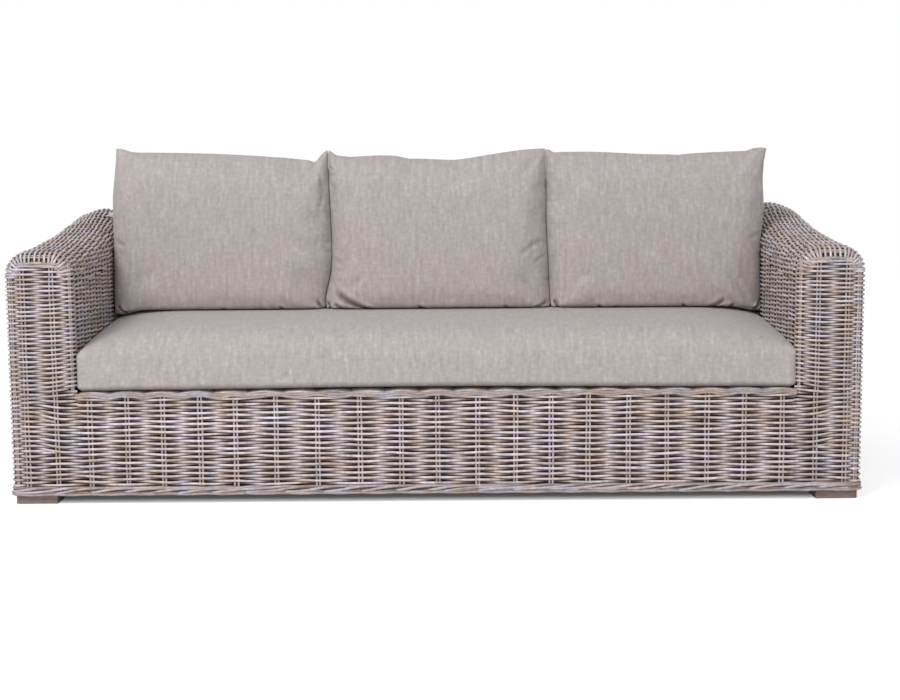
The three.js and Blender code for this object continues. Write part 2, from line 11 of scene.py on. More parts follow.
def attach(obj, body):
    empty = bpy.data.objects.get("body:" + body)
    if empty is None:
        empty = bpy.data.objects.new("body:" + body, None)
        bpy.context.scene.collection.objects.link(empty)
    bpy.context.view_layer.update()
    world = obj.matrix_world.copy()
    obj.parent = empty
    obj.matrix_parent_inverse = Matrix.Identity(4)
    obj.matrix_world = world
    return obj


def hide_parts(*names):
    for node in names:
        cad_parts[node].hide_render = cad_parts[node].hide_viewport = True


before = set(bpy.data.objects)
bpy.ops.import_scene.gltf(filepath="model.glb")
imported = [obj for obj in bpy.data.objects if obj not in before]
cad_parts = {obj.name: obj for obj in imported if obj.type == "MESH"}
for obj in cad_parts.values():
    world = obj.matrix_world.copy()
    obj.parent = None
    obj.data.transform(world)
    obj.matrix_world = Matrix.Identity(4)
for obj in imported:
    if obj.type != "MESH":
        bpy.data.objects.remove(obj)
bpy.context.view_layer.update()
scene = bpy.context.scene

# Sizes of the woven frame
HALF_WIDTH = 1.158
HALF_DEPTH = 0.475
ARM_INNER = 0.968
BACK_FACE = 0.295
FRONT_HEIGHT = 0.688
BACK_HEIGHT = 0.767
DECK_HEIGHT = 0.306
BORDER_BOTTOM = 0.023
BORDER_TOP = 0.049
CORNER_RADIUS = 0.026
EDGE_RADIUS = 0.065
LIP_RADIUS = 0.035
RISE_SHARES = [
    (0.0, 0.0), (0.11, 0.03), (0.21, 0.07), (0.32, 0.15), (0.42, 0.23), (0.53, 0.33),
    (0.63, 0.47), (0.74, 0.66), (0.82, 0.82), (0.88, 0.95), (0.94, 1.0), (1.0, 1.0),
]
ARM_MIDDLE = (HALF_WIDTH + ARM_INNER) / 2
HUMP = {1: 0.007, -1: 0.001}  # how far the middle of each arm's top stands up near the rear
SHOULDER_DROP = 0.014  # how far the edges of that top lie below its middle there
DIP = 0.024  # of the back's top next to each arm
TOP_ARC = EDGE_RADIUS * math.pi / 2  # round one side of a rounded top
LIP_ARC = LIP_RADIUS * math.pi / 2
TOP_LENGTH = 2 * LIP_ARC + 2 * (HALF_DEPTH - LIP_RADIUS)  # over an arm's top from lip to lip
ARM_FLAT = 2 * ((HALF_WIDTH - ARM_INNER) / 2 - EDGE_RADIUS)
BACK_FLAT = HALF_DEPTH - BACK_FACE - 2 * EDGE_RADIUS
SEAT_ZIP_HEIGHT = 0.366
BACK_ZIP_PLACE = 0.067  # from the sofa's middle towards the rear

# Sizes of the weave
APRON_ROWS = 34  # rows from the bottom border to the deck
ARM_ROWS = 38  # the same height under the arms, where four shorter rows are worked in
SHORT_ROWS = (12, 13, 25, 26)
SHORT_ROW_START = 1.031  # on the arm's front, from the sofa's middle
LEAN_START = 0.262  # above this height rows climb towards an arm's inner front corner
RING_PITCH = 0.00622  # of the rows above the deck
BAND_PITCH = 0.0066
BAND_ROWS = 5  # rows under an arm's top that follow its rise
WEDGE_ROWS = 16  # at most this many shorter rows between the level rows and that band
TOP_PITCH = 0.0067  # of the strands along the rounded tops
DECK_PITCH = 0.0086
STRAND_LENGTH = 1.37
STRAND_RADIUS = 0.0034
STAKE_RADIUS = 0.0026
STAKE_SPREAD = 0.0045  # each stake is a pair of rods, this far from its middle
STAKE_DEPTH = 0.0093  # middle of the weave under its outer face
SWING = 0.0056  # how far a strand passes in front of a stake, or behind it
# depth of the dark sheet of painted shade behind each woven face
SHADE_SHEET_DEPTH = 0.0184
TUCK = 0.004  # how far a strand's end goes in behind the outer face
SAMPLES = 8  # points of a strand from one stake to the next
BASE_STRAY = 0.0011  # how far the rows below the deck stray from their level
RING_STRAY = 0.0009
RING_ROWS = round((FRONT_HEIGHT - EDGE_RADIUS - DECK_HEIGHT) / RING_PITCH)
SIDE_ROWS = ARM_ROWS + RING_ROWS
BAND_START = SIDE_ROWS - BAND_ROWS

# Stakes along the right half of the sofa, measured from its middle or from its front
APRON_STAKES = {
    1: [0.0047, 0.1114, 0.2144, 0.3116, 0.4114, 0.52, 0.6235, 0.7316, 0.8327, 0.9362],
    -1: [-0.0047, 0.0953, 0.2061, 0.3206, 0.4343, 0.541, 0.6383, 0.7393, 0.8355, 0.9354],
}
ARM_FRONT_STAKES = {1: [1.0265, 1.1050], -1: [1.0265, 1.1060]}
CORNER_STAKE = (1.1375, 0.4735)
OUTER_SIDE_STAKES = [round(-0.407 + 0.0814 * k, 4) for k in range(11)]
BACK_STAKES = [round(0.104 * k, 3) for k in range(9, -1, -1)]
REAR_STAKES = [1.105, 1.027] + BACK_STAKES
INNER_SIDE_STAKES = [-0.469] + [round(-0.366 + 0.0829 * k, 4) for k in range(8)]
TOP_STAKES = np.arange(0.030, TOP_LENGTH, 0.079)
DECK_STAKES = np.arange(-0.93, 0.94, 0.093)

# Corners and corner radii of the right half's plan, below the deck and above it
OUTER_CORNERS = [(HALF_WIDTH, -HALF_DEPTH), (HALF_WIDTH, HALF_DEPTH)]
BASE_PLAN = [(0, -HALF_DEPTH), *OUTER_CORNERS, (0, HALF_DEPTH)], [CORNER_RADIUS] * 2
RING_PLAN = ([(0, BACK_FACE), (ARM_INNER, BACK_FACE), (ARM_INNER, -HALF_DEPTH), *OUTER_CORNERS,
              (0, HALF_DEPTH)], [0.008] + [CORNER_RADIUS] * 3)
SIDES = ((1, "right_arm"), (-1, "left_arm"))

chance = np.random.default_rng(7)


def smooth(share):
    share = np.clip(share, 0, 1)
    return share * share * (3 - 2 * share)


def stacked(*values):
    """One row for each point, from arrays and single numbers."""
    return np.column_stack(np.broadcast_arrays(*values))


def towards(start, end):
    return (end - start) / np.linalg.norm(end - start)


def lengths_along(points):
    """How far along a line each of its points lies."""
    return np.concatenate([[0], np.cumsum(np.linalg.norm(np.diff(points, axis=0), axis=1))])


def arm_top_table():
    """The arm's top line from the front to the rear, as a smooth curve through its shares."""
    points = np.array([(-HALF_DEPTH + 2 * HALF_DEPTH * a,
                        FRONT_HEIGHT + b * (BACK_HEIGHT - FRONT_HEIGHT))
                       for a, b in RISE_SHARES])
    ends = np.vstack([points[:1], points, points[-1:]])
    t = np.linspace(0, 1, 12, endpoint=False)[:, None]
    spans = []
    for before, a, b, after in zip(ends, ends[1:], ends[2:], ends[3:]):
        spans.append(0.5 * (2 * a + (b - before) * t
                            + (2 * before - 5 * a + 4 * b - after) * t ** 2
                            + (3 * a - before - 3 * b + after) * t ** 3))
    return np.vstack(spans + [points[-1:]])


ARM_LINE = arm_top_table()


def arm_top(y):
    return np.interp(y, ARM_LINE[:, 0], ARM_LINE[:, 1])


def rounded_corner(before, corner, after, radius, count):
    """Points round a corner that turns by a right angle."""
    into, out = towards(before, corner), towards(corner, after)
    angles = np.linspace(0, math.pi / 2, count)[:, None]
    return (corner + (out - into) * radius - out * radius * np.cos(angles)
            + into * radius * np.sin(angles))


def plan_line(corners, radii, step=0.002):
    """Points of a plan line with rounded corners, its outward normal on the right, and how far
    along it each point lies."""
    corners = [np.array(corner, float) for corner in corners]
    stretches = []
    start = corners[0]
    for before, corner, after, radius in zip(corners, corners[1:], corners[2:], radii):
        arc = rounded_corner(before, corner, after, radius, 14)
        count = max(2, int(np.linalg.norm(arc[0] - start) / step))
        stretches += [np.linspace(start, arc[0], count), arc[1:-1]]
        start = arc[-1]
    count = max(2, int(np.linalg.norm(corners[-1] - start) / step))
    stretches.append(np.linspace(start, corners[-1], count))
    points = np.vstack(stretches)
    along = np.gradient(points, axis=0)
    along /= np.linalg.norm(along, axis=1)[:, None]
    return points, np.column_stack([along[:, 1], -along[:, 0]]), lengths_along(points)


def travel_at(line, place):
    points, _, travel = line
    return travel[np.argmin(np.linalg.norm(points - np.array(place), axis=1))]


def on_line(line, travel):
    points, outward, places = line
    xy, out = (np.column_stack([np.interp(travel, places, values[:, i]) for i in range(2)])
               for values in (points, outward))
    return xy, out / np.linalg.norm(out, axis=1)[:, None]


# Objects and meshes
def placed(name, data):
    made = bpy.data.objects.new(name, data)
    scene.collection.objects.link(made)
    return made


def mesh_of(name, points, faces):
    mesh = bpy.data.meshes.new(name)
    mesh.from_pydata(points, [], faces)
    return mesh


def quads_of(index):
    """The faces of a grid of point numbers."""
    return np.stack([index[:-1, :-1], index[:-1, 1:], index[1:, 1:], index[1:, :-1]],
                    -1).reshape(-1, 4)


def evaluated(piece):
    return piece.evaluated_get(bpy.context.evaluated_depsgraph_get())


def plain(piece):
    """The piece with its modifiers made part of its mesh."""
    bpy.context.view_layer.update()
    made, name = bpy.data.meshes.new_from_object(evaluated(piece)), piece.name
    bpy.data.objects.remove(piece)
    made.name = name
    return placed(name, made)


def joined(name, pieces):
    """One mesh object from several."""
    whole = bmesh.new()
    for piece in pieces:
        whole.from_mesh(piece.data)
    mesh = bpy.data.meshes.new(name)
    whole.to_mesh(mesh)
    whole.free()
    for material in pieces[0].data.materials:
        mesh.materials.append(material)
    for piece in pieces:
        bpy.data.objects.remove(piece)
    return placed(name, mesh)


class Weave:
    """Guide lines for strands or stakes, each with its outward side and its count of stakes."""

    def __init__(self):
        self.parts = {key: [] for key in ("co", "outward", "turn", "girth", "tone", "run")}
        self.edges = []
        self.count = 0

    def add(self, co, outward, turn, girth=1.0, tone=None, run=None):
        n = len(co)
        tone = chance.random() if tone is None else tone
        run = lengths_along(co) + chance.random() * 9 if run is None else run
        for key, value in (("turn", turn), ("girth", girth), ("tone", tone), ("run", run)):
            self.parts[key].append(np.broadcast_to(np.asarray(value, float), (n,)))
        self.parts["co"].append(np.asarray(co, float))
        outward = np.broadcast_to(np.asarray(outward, float), (n, 3))
        self.parts["outward"].append(outward / np.linalg.norm(outward, axis=1)[:, None])
        first = self.count + np.arange(n - 1)
        self.edges.append(np.column_stack([first, first + 1]))
        self.count += n

    def add_stake(self, place, path):
        """A stake as two rods, on both sides of its place along a line."""
        for sign in (-1, 1):
            co, outward = path(place + sign * STAKE_SPREAD)
            self.add(co, outward, 0.5)

    def mesh(self):
        mesh = bpy.data.meshes.new("guide")
        edges = np.vstack(self.edges)
        co, outward = (np.vstack(self.parts[key]).astype(np.float32).ravel()
                       for key in ("co", "outward"))
        mesh.vertices.add(self.count)
        mesh.vertices.foreach_set("co", co)
        mesh.edges.add(len(edges))
        mesh.edges.foreach_set("vertices", edges.astype(np.int32).ravel())
        mesh.attributes.new("outward", "FLOAT_VECTOR", "POINT").data.foreach_set("vector", outward)
        for key in ("turn", "girth", "tone", "run"):
            values = np.concatenate(self.parts[key]).astype(np.float32)
            mesh.attributes.new(key, "FLOAT", "POINT").data.foreach_set("value", values)
        return mesh


# Node trees
def new_node(tree, kind, values=None, **settings):
    node = tree.nodes.new(kind)
    for key, value in settings.items():
        setattr(node, key, value)
    for key, value in (values or {}).items():
        if isinstance(value, bpy.types.NodeSocket):
            tree.links.new(value, node.inputs[key])
        else:
            node.inputs[key].default_value = value
    return node


def maths(tree, operation, *values):
    return new_node(tree, "ShaderNodeMath", dict(enumerate(values)), operation=operation).outputs[0]


def vector_maths(tree, operation, *values):
    keys = (0, "Scale") if operation == "SCALE" else (0, 1)
    return new_node(tree, "ShaderNodeVectorMath", dict(zip(keys, values)),
                    operation=operation).outputs[0]


def weighed(tree, *parts):
    """The sum of several values, each times its weight."""
    total, *others = [maths(tree, "MULTIPLY", value, weight) for value, weight in parts]
    for part in others:
        total = maths(tree, "ADD", total, part)
    return total


def new_geometry_tree(name, inputs):
    """A tree with its own inputs and those that every strand has."""
    tree = bpy.data.node_groups.new(name, "GeometryNodeTree")
    for label, kind in (("Geometry", "Geometry"), *inputs, ("Strand radius", "Float"),
                        ("Sides", "Int"), ("Material", "Material")):
        tree.interface.new_socket(label, in_out="INPUT", socket_type="NodeSocket" + kind)
    tree.interface.new_socket("Geometry", in_out="OUTPUT", socket_type="NodeSocketGeometry")
    given = tree.nodes.new("NodeGroupInput").outputs
    curve = new_node(tree, "GeometryNodeMeshToCurve", {"Mesh": given["Geometry"]}).outputs[0]
    return tree, given, curve


def named(tree, name, kind="FLOAT"):
    return new_node(tree, "GeometryNodeInputNamedAttribute", {"Name": name},
                    data_type=kind).outputs["Attribute"]


def stored(tree, geometry, name, value):
    return new_node(tree, "GeometryNodeStoreNamedAttribute",
                    {"Geometry": geometry, "Name": name, "Value": value},
                    domain="POINT", data_type="FLOAT").outputs[0]


def shifted(tree, geometry, offset):
    return new_node(tree, "GeometryNodeSetPosition",
                    {"Geometry": geometry, "Offset": offset}).outputs[0]


def finish_tree(tree, curve, given):
    """Ends a tree with a closed tube along each of its curves, in its material."""
    profile = new_node(tree, "GeometryNodeCurvePrimitiveCircle",
                       {"Resolution": given["Sides"], "Radius": given["Strand radius"]})
    tube = new_node(tree, "GeometryNodeCurveToMesh", {
        "Curve": curve, "Profile Curve": profile.outputs["Curve"],
        "Scale": named(tree, "girth"), "Fill Caps": True})
    smoothed = new_node(tree, "GeometryNodeSetShadeSmooth", {"Geometry": tube.outputs["Mesh"]})
    real = new_node(tree, "GeometryNodeRealizeInstances", {"Geometry": smoothed.outputs[0]})
    dressed = new_node(tree, "GeometryNodeSetMaterial",
                       {"Geometry": real.outputs[0], "Material": given["Material"]})
    tree.links.new(dressed.outputs[0], tree.nodes.new("NodeGroupOutput").inputs[0])
    return tree


def strand_tree():
    """Strands along guide lines: each swings in front of one stake and behind the next."""
    tree, given, curve = new_geometry_tree("woven strands", [
        ("Depth", "Float"), ("Swing", "Float")])
    wave = maths(tree, "COSINE", maths(tree, "MULTIPLY", named(tree, "turn"), math.pi))
    lift = maths(tree, "SUBTRACT", maths(tree, "MULTIPLY", wave, given["Swing"]), given["Depth"])
    offset = vector_maths(tree, "SCALE", named(tree, "outward", "FLOAT_VECTOR"), lift)
    # The wave is also kept as front, which sets the painted shade in the cane material
    return finish_tree(tree, shifted(tree, stored(tree, curve, "front", wave), offset), given)


def plait_tree():
    """Strands that wind round a guide line as a flat plait."""
    tree, given, curve = new_geometry_tree("plaited border", [
        ("Strands", "Int"), ("Half height", "Float"), ("Half depth", "Float"), ("Lay", "Float"),
        ("Unevenness", "Float")])
    copies = new_node(tree, "GeometryNodeDuplicateElements",
                      {"Geometry": curve, "Amount": given["Strands"]}, domain="SPLINE").outputs
    run, number = named(tree, "run"), copies["Duplicate Index"]
    share = maths(tree, "DIVIDE", number, given["Strands"])
    bent = maths(tree, "SINE", weighed(tree, (run, 31.0), (share, 14.5)))
    uneven = maths(tree, "ADD", share, maths(tree, "MULTIPLY", bent, given["Unevenness"]))
    wound = maths(tree, "ADD", uneven, maths(tree, "DIVIDE", run, given["Lay"]))
    angle = maths(tree, "MULTIPLY", wound, 2 * math.pi)
    facing = maths(tree, "COSINE", angle)
    out = vector_maths(tree, "SCALE", named(tree, "outward", "FLOAT_VECTOR"),
                       maths(tree, "MULTIPLY", facing, given["Half depth"]))
    rise = maths(tree, "MULTIPLY", maths(tree, "SINE", angle), given["Half height"])
    up = new_node(tree, "ShaderNodeCombineXYZ", {"Z": rise}).outputs[0]
    moved = shifted(tree, copies["Geometry"], vector_maths(tree, "ADD", out, up))
    tones = new_node(tree, "FunctionNodeRandomValue", {"ID": number, "Seed": 3}, data_type="FLOAT")
    tone = maths(tree, "ADD", maths(tree, "MULTIPLY", tones.outputs[1], 0.24), 0.50)
    # Painted shade: the cane material darkens each plait strand where it faces inwards, and the
    # whole plait through the offset
    front = maths(tree, "SUBTRACT", maths(tree, "MULTIPLY", facing, 0.55), 0.28)
    return finish_tree(tree, stored(tree, stored(tree, moved, "tone", tone), "front", front), given)


def grown(name, weave, tree, values, material):
    """A plain mesh object made by a node tree from a weave's guide lines."""
    guide = placed(name, weave.mesh())
    modifier = guide.modifiers.new("grown", "NODES")
    modifier.node_group = tree
    sockets = {item.name: item.identifier for item in tree.interface.items_tree
               if item.item_type == "SOCKET" and item.in_out == "INPUT"}
    for label, value in {**values, "Material": material}.items():
        modifier[sockets[label]] = value
    return plain(guide)


# Materials
def new_material(name):
    material = bpy.data.materials.new(name)
    material.use_nodes = True
    tree = material.node_tree
    return material, tree, tree.nodes["Principled BSDF"]


def object_place(tree):
    return new_node(tree, "ShaderNodeTexCoord").outputs["Object"]


def attribute(tree, name):
    return new_node(tree, "ShaderNodeAttribute", attribute_name=name).outputs["Fac"]


def noise(tree, where, scale=1.0, detail=2.0, rough=0.5):
    return new_node(tree, "ShaderNodeTexNoise", {
        "Vector": where, "Scale": scale, "Detail": detail, "Roughness": rough}).outputs["Fac"]


def ranged(tree, value, start, end, low=0.0, high=1.0, **settings):
    """A value stretched so that start becomes low and end becomes high."""
    return new_node(tree, "ShaderNodeMapRange", {
        "Value": value, "From Min": start, "From Max": end, "To Min": low, "To Max": high},
        **settings).outputs[0]


def ramp(tree, factor, stops):
    node = new_node(tree, "ShaderNodeValToRGB", {"Fac": factor})
    elements = node.color_ramp.elements
    while len(elements) < len(stops):
        elements.new(0.5)
    for element, (position, colour) in zip(elements, stops):
        element.position = position
        element.color = (*colour, 1)
    return node.outputs["Color"]


def dress(tree, shader, colour, rough, height=None, strength=0.5, depth=0.0005):
    """Sets a shader's colour, its roughness and, from a height, its bump."""
    tree.links.new(colour, shader.inputs["Base Color"])
    if isinstance(rough, bpy.types.NodeSocket):
        tree.links.new(rough, shader.inputs["Roughness"])
    else:
        shader.inputs["Roughness"].default_value = rough
    if height is not None:
        bump = new_node(tree, "ShaderNodeBump",
                        {"Height": height, "Strength": strength, "Distance": depth})
        tree.links.new(bump.outputs[0], shader.inputs["Normal"])


def cane_material(name, painted_light_gain):
    """Weathered cane: grey and lilac with tan and olive strands, streaked along each strand,
    warmer and cooler in patches, with painted shade where a strand runs behind a stake, and
    lighter or darker for each piece by a painted light gain."""
    material, tree, shader = new_material(name)
    tone, run, front = (attribute(tree, label) for label in ("tone", "run", "front"))

    def streaked(along, across, detail):
        where = new_node(tree, "ShaderNodeCombineXYZ", {"X": maths(tree, "MULTIPLY", run, along),
                                                        "Y": maths(tree, "MULTIPLY", tone, across)})
        return noise(tree, where.outputs[0], detail=detail)

    mixed = maths(tree, "ADD", tone, maths(tree, "MULTIPLY", streaked(9.0, 40.0, 2.0), 0.7))
    colour = ramp(tree, maths(tree, "FRACT", mixed), [
        (0.0, (0.55, 0.468, 0.465)), (0.13, (0.66, 0.578, 0.592)), (0.27, (0.47, 0.385, 0.350)),
        (0.40, (0.61, 0.520, 0.540)), (0.53, (0.70, 0.620, 0.645)), (0.65, (0.52, 0.435, 0.385)),
        (0.75, (0.60, 0.510, 0.510)), (0.83, (0.60, 0.485, 0.440)), (0.91, (0.40, 0.330, 0.295)),
        (1.0, (0.55, 0.468, 0.465))])
    place = object_place(tree)
    tint = ramp(tree, noise(tree, place, 15.0), [
        (0.33, (0.965, 1.035, 1.15)), (0.5, (1.0, 1.015, 1.03)), (0.67, (1.015, 0.95, 0.86))])
    # Painted shade: a strand darkens as it swings behind a stake; rods and laid strands take a
    # fixed share of it from their front value
    painted_shade_behind_stakes = ramp(tree, ranged(tree, front, -0.9, 0.15), [
        (0.0, (0.19, 0.12, 0.125)), (0.5, (0.62, 0.575, 0.58)), (1.0, (1.0, 1.0, 1.0))])
    # Random weathering streaks, scaled by the painted light gain of this copy
    weathering_and_painted_light = ranged(tree, streaked(70.0, 90.0, 1.0), 0.3, 0.7, 0.85 * painted_light_gain, 1.18 * painted_light_gain)
    shaded = vector_maths(tree, "MULTIPLY", vector_maths(tree, "MULTIPLY", colour, tint), painted_shade_behind_stakes)
    dress(tree, shader, vector_maths(tree, "SCALE", shaded, weathering_and_painted_light), 0.5,
          noise(tree, place, 420.0, 3.0), 0.35, 0.0006)
    return material


def shade_sheet_material():
    material, tree, shader = new_material("painted shade of the inner weave")
    # Near-black painted shade for the sheets behind the weave
    colour = ramp(tree, noise(tree, object_place(tree), 60.0), [
        (0.3, (0.014, 0.008, 0.009)), (0.7, (0.032, 0.020, 0.021))])
    dress(tree, shader, colour, 0.9)
    return material


def wood_material(name, colours, grain, bump_depth, rough=0.6):
    """Wood with long grain, darker pores and a soft uneven surface; grain gives its scale along
    each axis, small where the grain runs long."""
    material, tree, shader = new_material(name)
    where = vector_maths(tree, "MULTIPLY", object_place(tree), grain)
    rings, pores = noise(tree, where, 1.0, 3.0, 0.6), noise(tree, where, 4.0, 2.0, 0.6)
    colour = ramp(tree, weighed(tree, (rings, 0.65), (pores, 0.35)),
                  list(zip((0.34, 0.48, 0.64), colours)))
    dress(tree, shader, colour, ranged(tree, pores, 0, 1, rough + 0.12, rough - 0.08),
          pores, 0.5, bump_depth)
    return material


def metal_material(name, colour, rough, brushed):
    """Brushed metal with faint scratches along one axis."""
    material, tree, shader = new_material(name)
    lines = noise(tree, vector_maths(tree, "MULTIPLY", object_place(tree), brushed), 1.0, 3.0)
    dress(tree, shader, ramp(tree, lines, [(0.3, [c * 0.82 for c in colour]), (0.7, colour)]),
          ranged(tree, lines, 0, 1, rough - 0.08, rough + 0.12))
    shader.inputs["Metallic"].default_value = 1.0
    return material


def zip_material(name, axis, middle):
    """A zip's tape with its row of teeth along the middle, which lies at one place on an axis."""
    material, tree, shader = new_material(name)
    place = object_place(tree)
    spot = new_node(tree, "ShaderNodeSeparateXYZ", {0: place}).outputs
    off = maths(tree, "ABSOLUTE", maths(tree, "SUBTRACT", spot[axis], middle))
    row = maths(tree, "FRACT", maths(tree, "MULTIPLY", spot["X"], 1 / 0.0024))
    tooth = maths(tree, "MULTIPLY", maths(tree, "LESS_THAN", off, 0.0027),
                  maths(tree, "LESS_THAN", row, 0.62))
    ribs = new_node(tree, "ShaderNodeTexWave", {"Vector": place, "Scale": 420.0},
                    bands_direction="X").outputs["Fac"]
    level = weighed(tree, (tooth, 0.7), (ribs, 0.2))
    colour = ramp(tree, level, [(0.0, (0.155, 0.128, 0.115)), (0.2, (0.215, 0.182, 0.166)),
                                (0.75, (0.330, 0.292, 0.270)), (0.9, (0.40, 0.36, 0.335))])
    dress(tree, shader, colour, 0.55, level, 0.8, 0.0008)
    return material


FOOT_WOOD = wood_material("stained foot wood", (
    (0.135, 0.090, 0.074), (0.205, 0.142, 0.120), (0.275, 0.200, 0.172)), (12, 130, 150), 0.0006)
FRAME_TIMBER = wood_material("raw frame timber", (
    (0.42, 0.27, 0.15), (0.53, 0.37, 0.22), (0.62, 0.46, 0.29)), (30, 30, 60), 0.0005)
POLE_CANE = wood_material("frame pole cane", (
    (0.36, 0.24, 0.12), (0.50, 0.35, 0.19), (0.60, 0.44, 0.26)), (45, 45, 45), 0.0004, 0.45)
STEEL = metal_material("brushed steel", (0.56, 0.57, 0.58), 0.34, (60, 60, 900))
ZIP_METAL = metal_material("zip slider metal", (0.42, 0.40, 0.38), 0.30, (200, 900, 900))
SEAT_ZIP = zip_material("seat cushion zip", "Z", SEAT_ZIP_HEIGHT)
BACK_ZIP = zip_material("back cushion zip", "Y", BACK_ZIP_PLACE)
# Lighter and darker copies of one cane: painted light on the apron, back and deck, painted shade on
# the arms and the borders
CANE_PAINTED_LIGHTER = cane_material("weathered cane", 1.045)
ARM_CANE_PAINTED_DARKER = cane_material("weathered cane of the arms with painted shade", 0.93)
BORDER_CANE_PAINTED_DARKER = cane_material("weathered cane of the border with painted shade", 0.80)
SHADE_SHEET = shade_sheet_material()
STRANDS = strand_tree()
PLAIT = plait_tree()
LAID = {"Depth": 0.0, "Swing": 0.0, "Strand radius": STRAND_RADIUS, "Sides": 8}


def finish_of(node):
    """The material of a solid that shows as it is, or None where a piece stands for it."""
    for ending, material in (("_zip_slider", ZIP_METAL), ("_board", FRAME_TIMBER),
                             ("_post", POLE_CANE)):
        if node.endswith(ending):
            return material
    for start, material in (("foot_bolt", STEEL), ("foot_", FOOT_WOOD), ("base_rail", FRAME_TIMBER),
                            ("seat_rail", POLE_CANE), ("seat_bearer", POLE_CANE),
                            ("seat_prop", POLE_CANE), ("back_post", POLE_CANE),
                            ("seat_cushion_zip", SEAT_ZIP)):
        if node.startswith(start):
            return material
    return BACK_ZIP if node.endswith("_zip") else None


for node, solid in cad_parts.items():
    material = finish_of(node)
    if material:
        for place in solid.material_slots:
            place.material = material


# Plan lines of the right half, with the travel of each stake and its count
def outer_stakes(side):
    x, y = CORNER_STAKE
    return ([(place, -HALF_DEPTH) for place in ARM_FRONT_STAKES[side]] + [(x, -y)]
            + [(HALF_WIDTH, place) for place in OUTER_SIDE_STAKES] + [(x, y)]
            + [(place, HALF_DEPTH) for place in REAR_STAKES])


def base_line(side):
    line = plan_line(*BASE_PLAN)
    places = [(x, -HALF_DEPTH) for x in APRON_STAKES[side]] + outer_stakes(side)
    stakes = [travel_at(line, place) for place in places]
    if side < 0:
        stakes[0] = APRON_STAKES[side][0]
    return line, np.array(stakes), np.arange(len(stakes))


def ring_line(side):
    line = plan_line(*RING_PLAN)
    places = ([(x, BACK_FACE) for x in reversed(BACK_STAKES)]
              + [(ARM_INNER, y) for y in reversed(INNER_SIDE_STAKES)] + outer_stakes(side))
    first = len(APRON_STAKES[side]) - len(INNER_SIDE_STAKES) - len(BACK_STAKES)
    stakes = [travel_at(line, place) for place in places]
    return line, np.array(stakes), first + np.arange(len(stakes))


def spread_turns(stakes, start, stop, counts=None):
    """Travel and count of stakes at even shares of each space between two stakes."""
    counts = np.arange(len(stakes)) if counts is None else counts
    slope = 1 / np.mean(np.diff(stakes))
    xs = np.concatenate([[stakes[0] - 1], stakes, [stakes[-1] + 1]])
    ys = np.concatenate([[counts[0] - slope], counts, [counts[-1] + slope]])
    first, last = np.interp([start, stop], xs, ys)
    inside = np.arange(math.ceil(first * SAMPLES + 0.2), math.floor(last * SAMPLES - 0.2) + 1)
    turns = np.concatenate([[first], inside / SAMPLES, [last]])
    return np.interp(turns, ys, xs), turns


def wander(rows, length, size, step=0.06):
    """How far each row strays up or down along its way, for the right half and the left one.
    Rows near each other stray together, and the halves agree where they meet."""
    knots = int(length / step) + 3
    right, left = chance.normal(size=(2, rows + 4, knots))
    left[:, :2], left[:, -4:] = right[:, :2], right[:, -4:]

    def stray(field):
        field = (field[:-4] + 2 * field[1:-3] + 3 * field[2:-2] + 2 * field[3:-1] + field[4:]) / 4.4
        return lambda row, travel: size * np.interp(travel / step, np.arange(knots), field[row])

    return {1: stray(right), -1: stray(left)}


def base_level(row, x, y):
    """Height of a row of the base: closer together under the arms than along the apron."""
    whole = DECK_HEIGHT - BORDER_TOP
    share = (row + 0.5) / ARM_ROWS
    under_arm = BORDER_TOP + whole * share * (1.12 - 0.12 * share)
    rank = row - sum(short < row for short in SHORT_ROWS)
    along_apron = BORDER_TOP + (rank + 0.5) * whole / APRON_ROWS
    towards_arm = np.where(y > -0.45, 1, smooth((x - 0.99) / 0.11))
    return along_apron + (under_arm - along_apron) * towards_arm


def ring_level(row):
    return DECK_HEIGHT + (row - ARM_ROWS + 0.5) * RING_PITCH


def side_top(xy):
    """Where the sides end and the rounded tops begin."""
    return np.where(xy[:, 0] < ARM_INNER - 0.01, BACK_HEIGHT - EDGE_RADIUS,
                    arm_top(xy[:, 1]) - EDGE_RADIUS)


def leaning(level, xy):
    """Rows climb towards an arm's inner front corner, most of all near the deck."""
    x, y = xy.T
    amount = np.interp(level, [LEAN_START, 0.312, 0.45, 0.56, 0.62], [0, 0.0095, 0.004, 0.002, 0])
    front = smooth((1.055 - x) / (1.055 - ARM_INNER))
    inside = 1 - smooth((y + HALF_DEPTH) / 0.12)
    return level + amount * np.where(x < ARM_INNER + 0.006, inside, front) * (y < -0.3)


def lay_row(weave, way, side, row, start, stop, height, stray, tuck=(0, 0), thick=1.0):
    """One row from start to stop, cut into strands. Its ends can be tucked in."""
    line, stakes, counts = way
    travel, turns = spread_turns(stakes, start, stop, counts)
    xy, out = on_line(line, travel)
    co = stacked(side * xy[:, 0], xy[:, 1], height(xy) + stray(row, travel))
    outward = stacked(side * out[:, 0], out[:, 1], 0)
    co[0] -= outward[0] * tuck[0]
    co[-1] -= outward[-1] * tuck[1]
    whole = 2 * line[2][-1]
    around = travel if side > 0 else whole - travel
    lengths = round(whole / STRAND_LENGTH)
    # Each strand has a fixed number from 0 to 1, the same on every face that it runs along
    piece = np.floor(around / whole * lengths + (row * 0.618) % 1).astype(int) % lengths
    seeds = (np.sin((piece + 3) * 12.9898 + row * 78.233) * 43758.5453) % 1
    girth = 0.93 + 0.16 * ((seeds * 7.31) % 1)
    weave.add(co, outward, turns + row, girth * thick, seeds, travel + 5 * row)


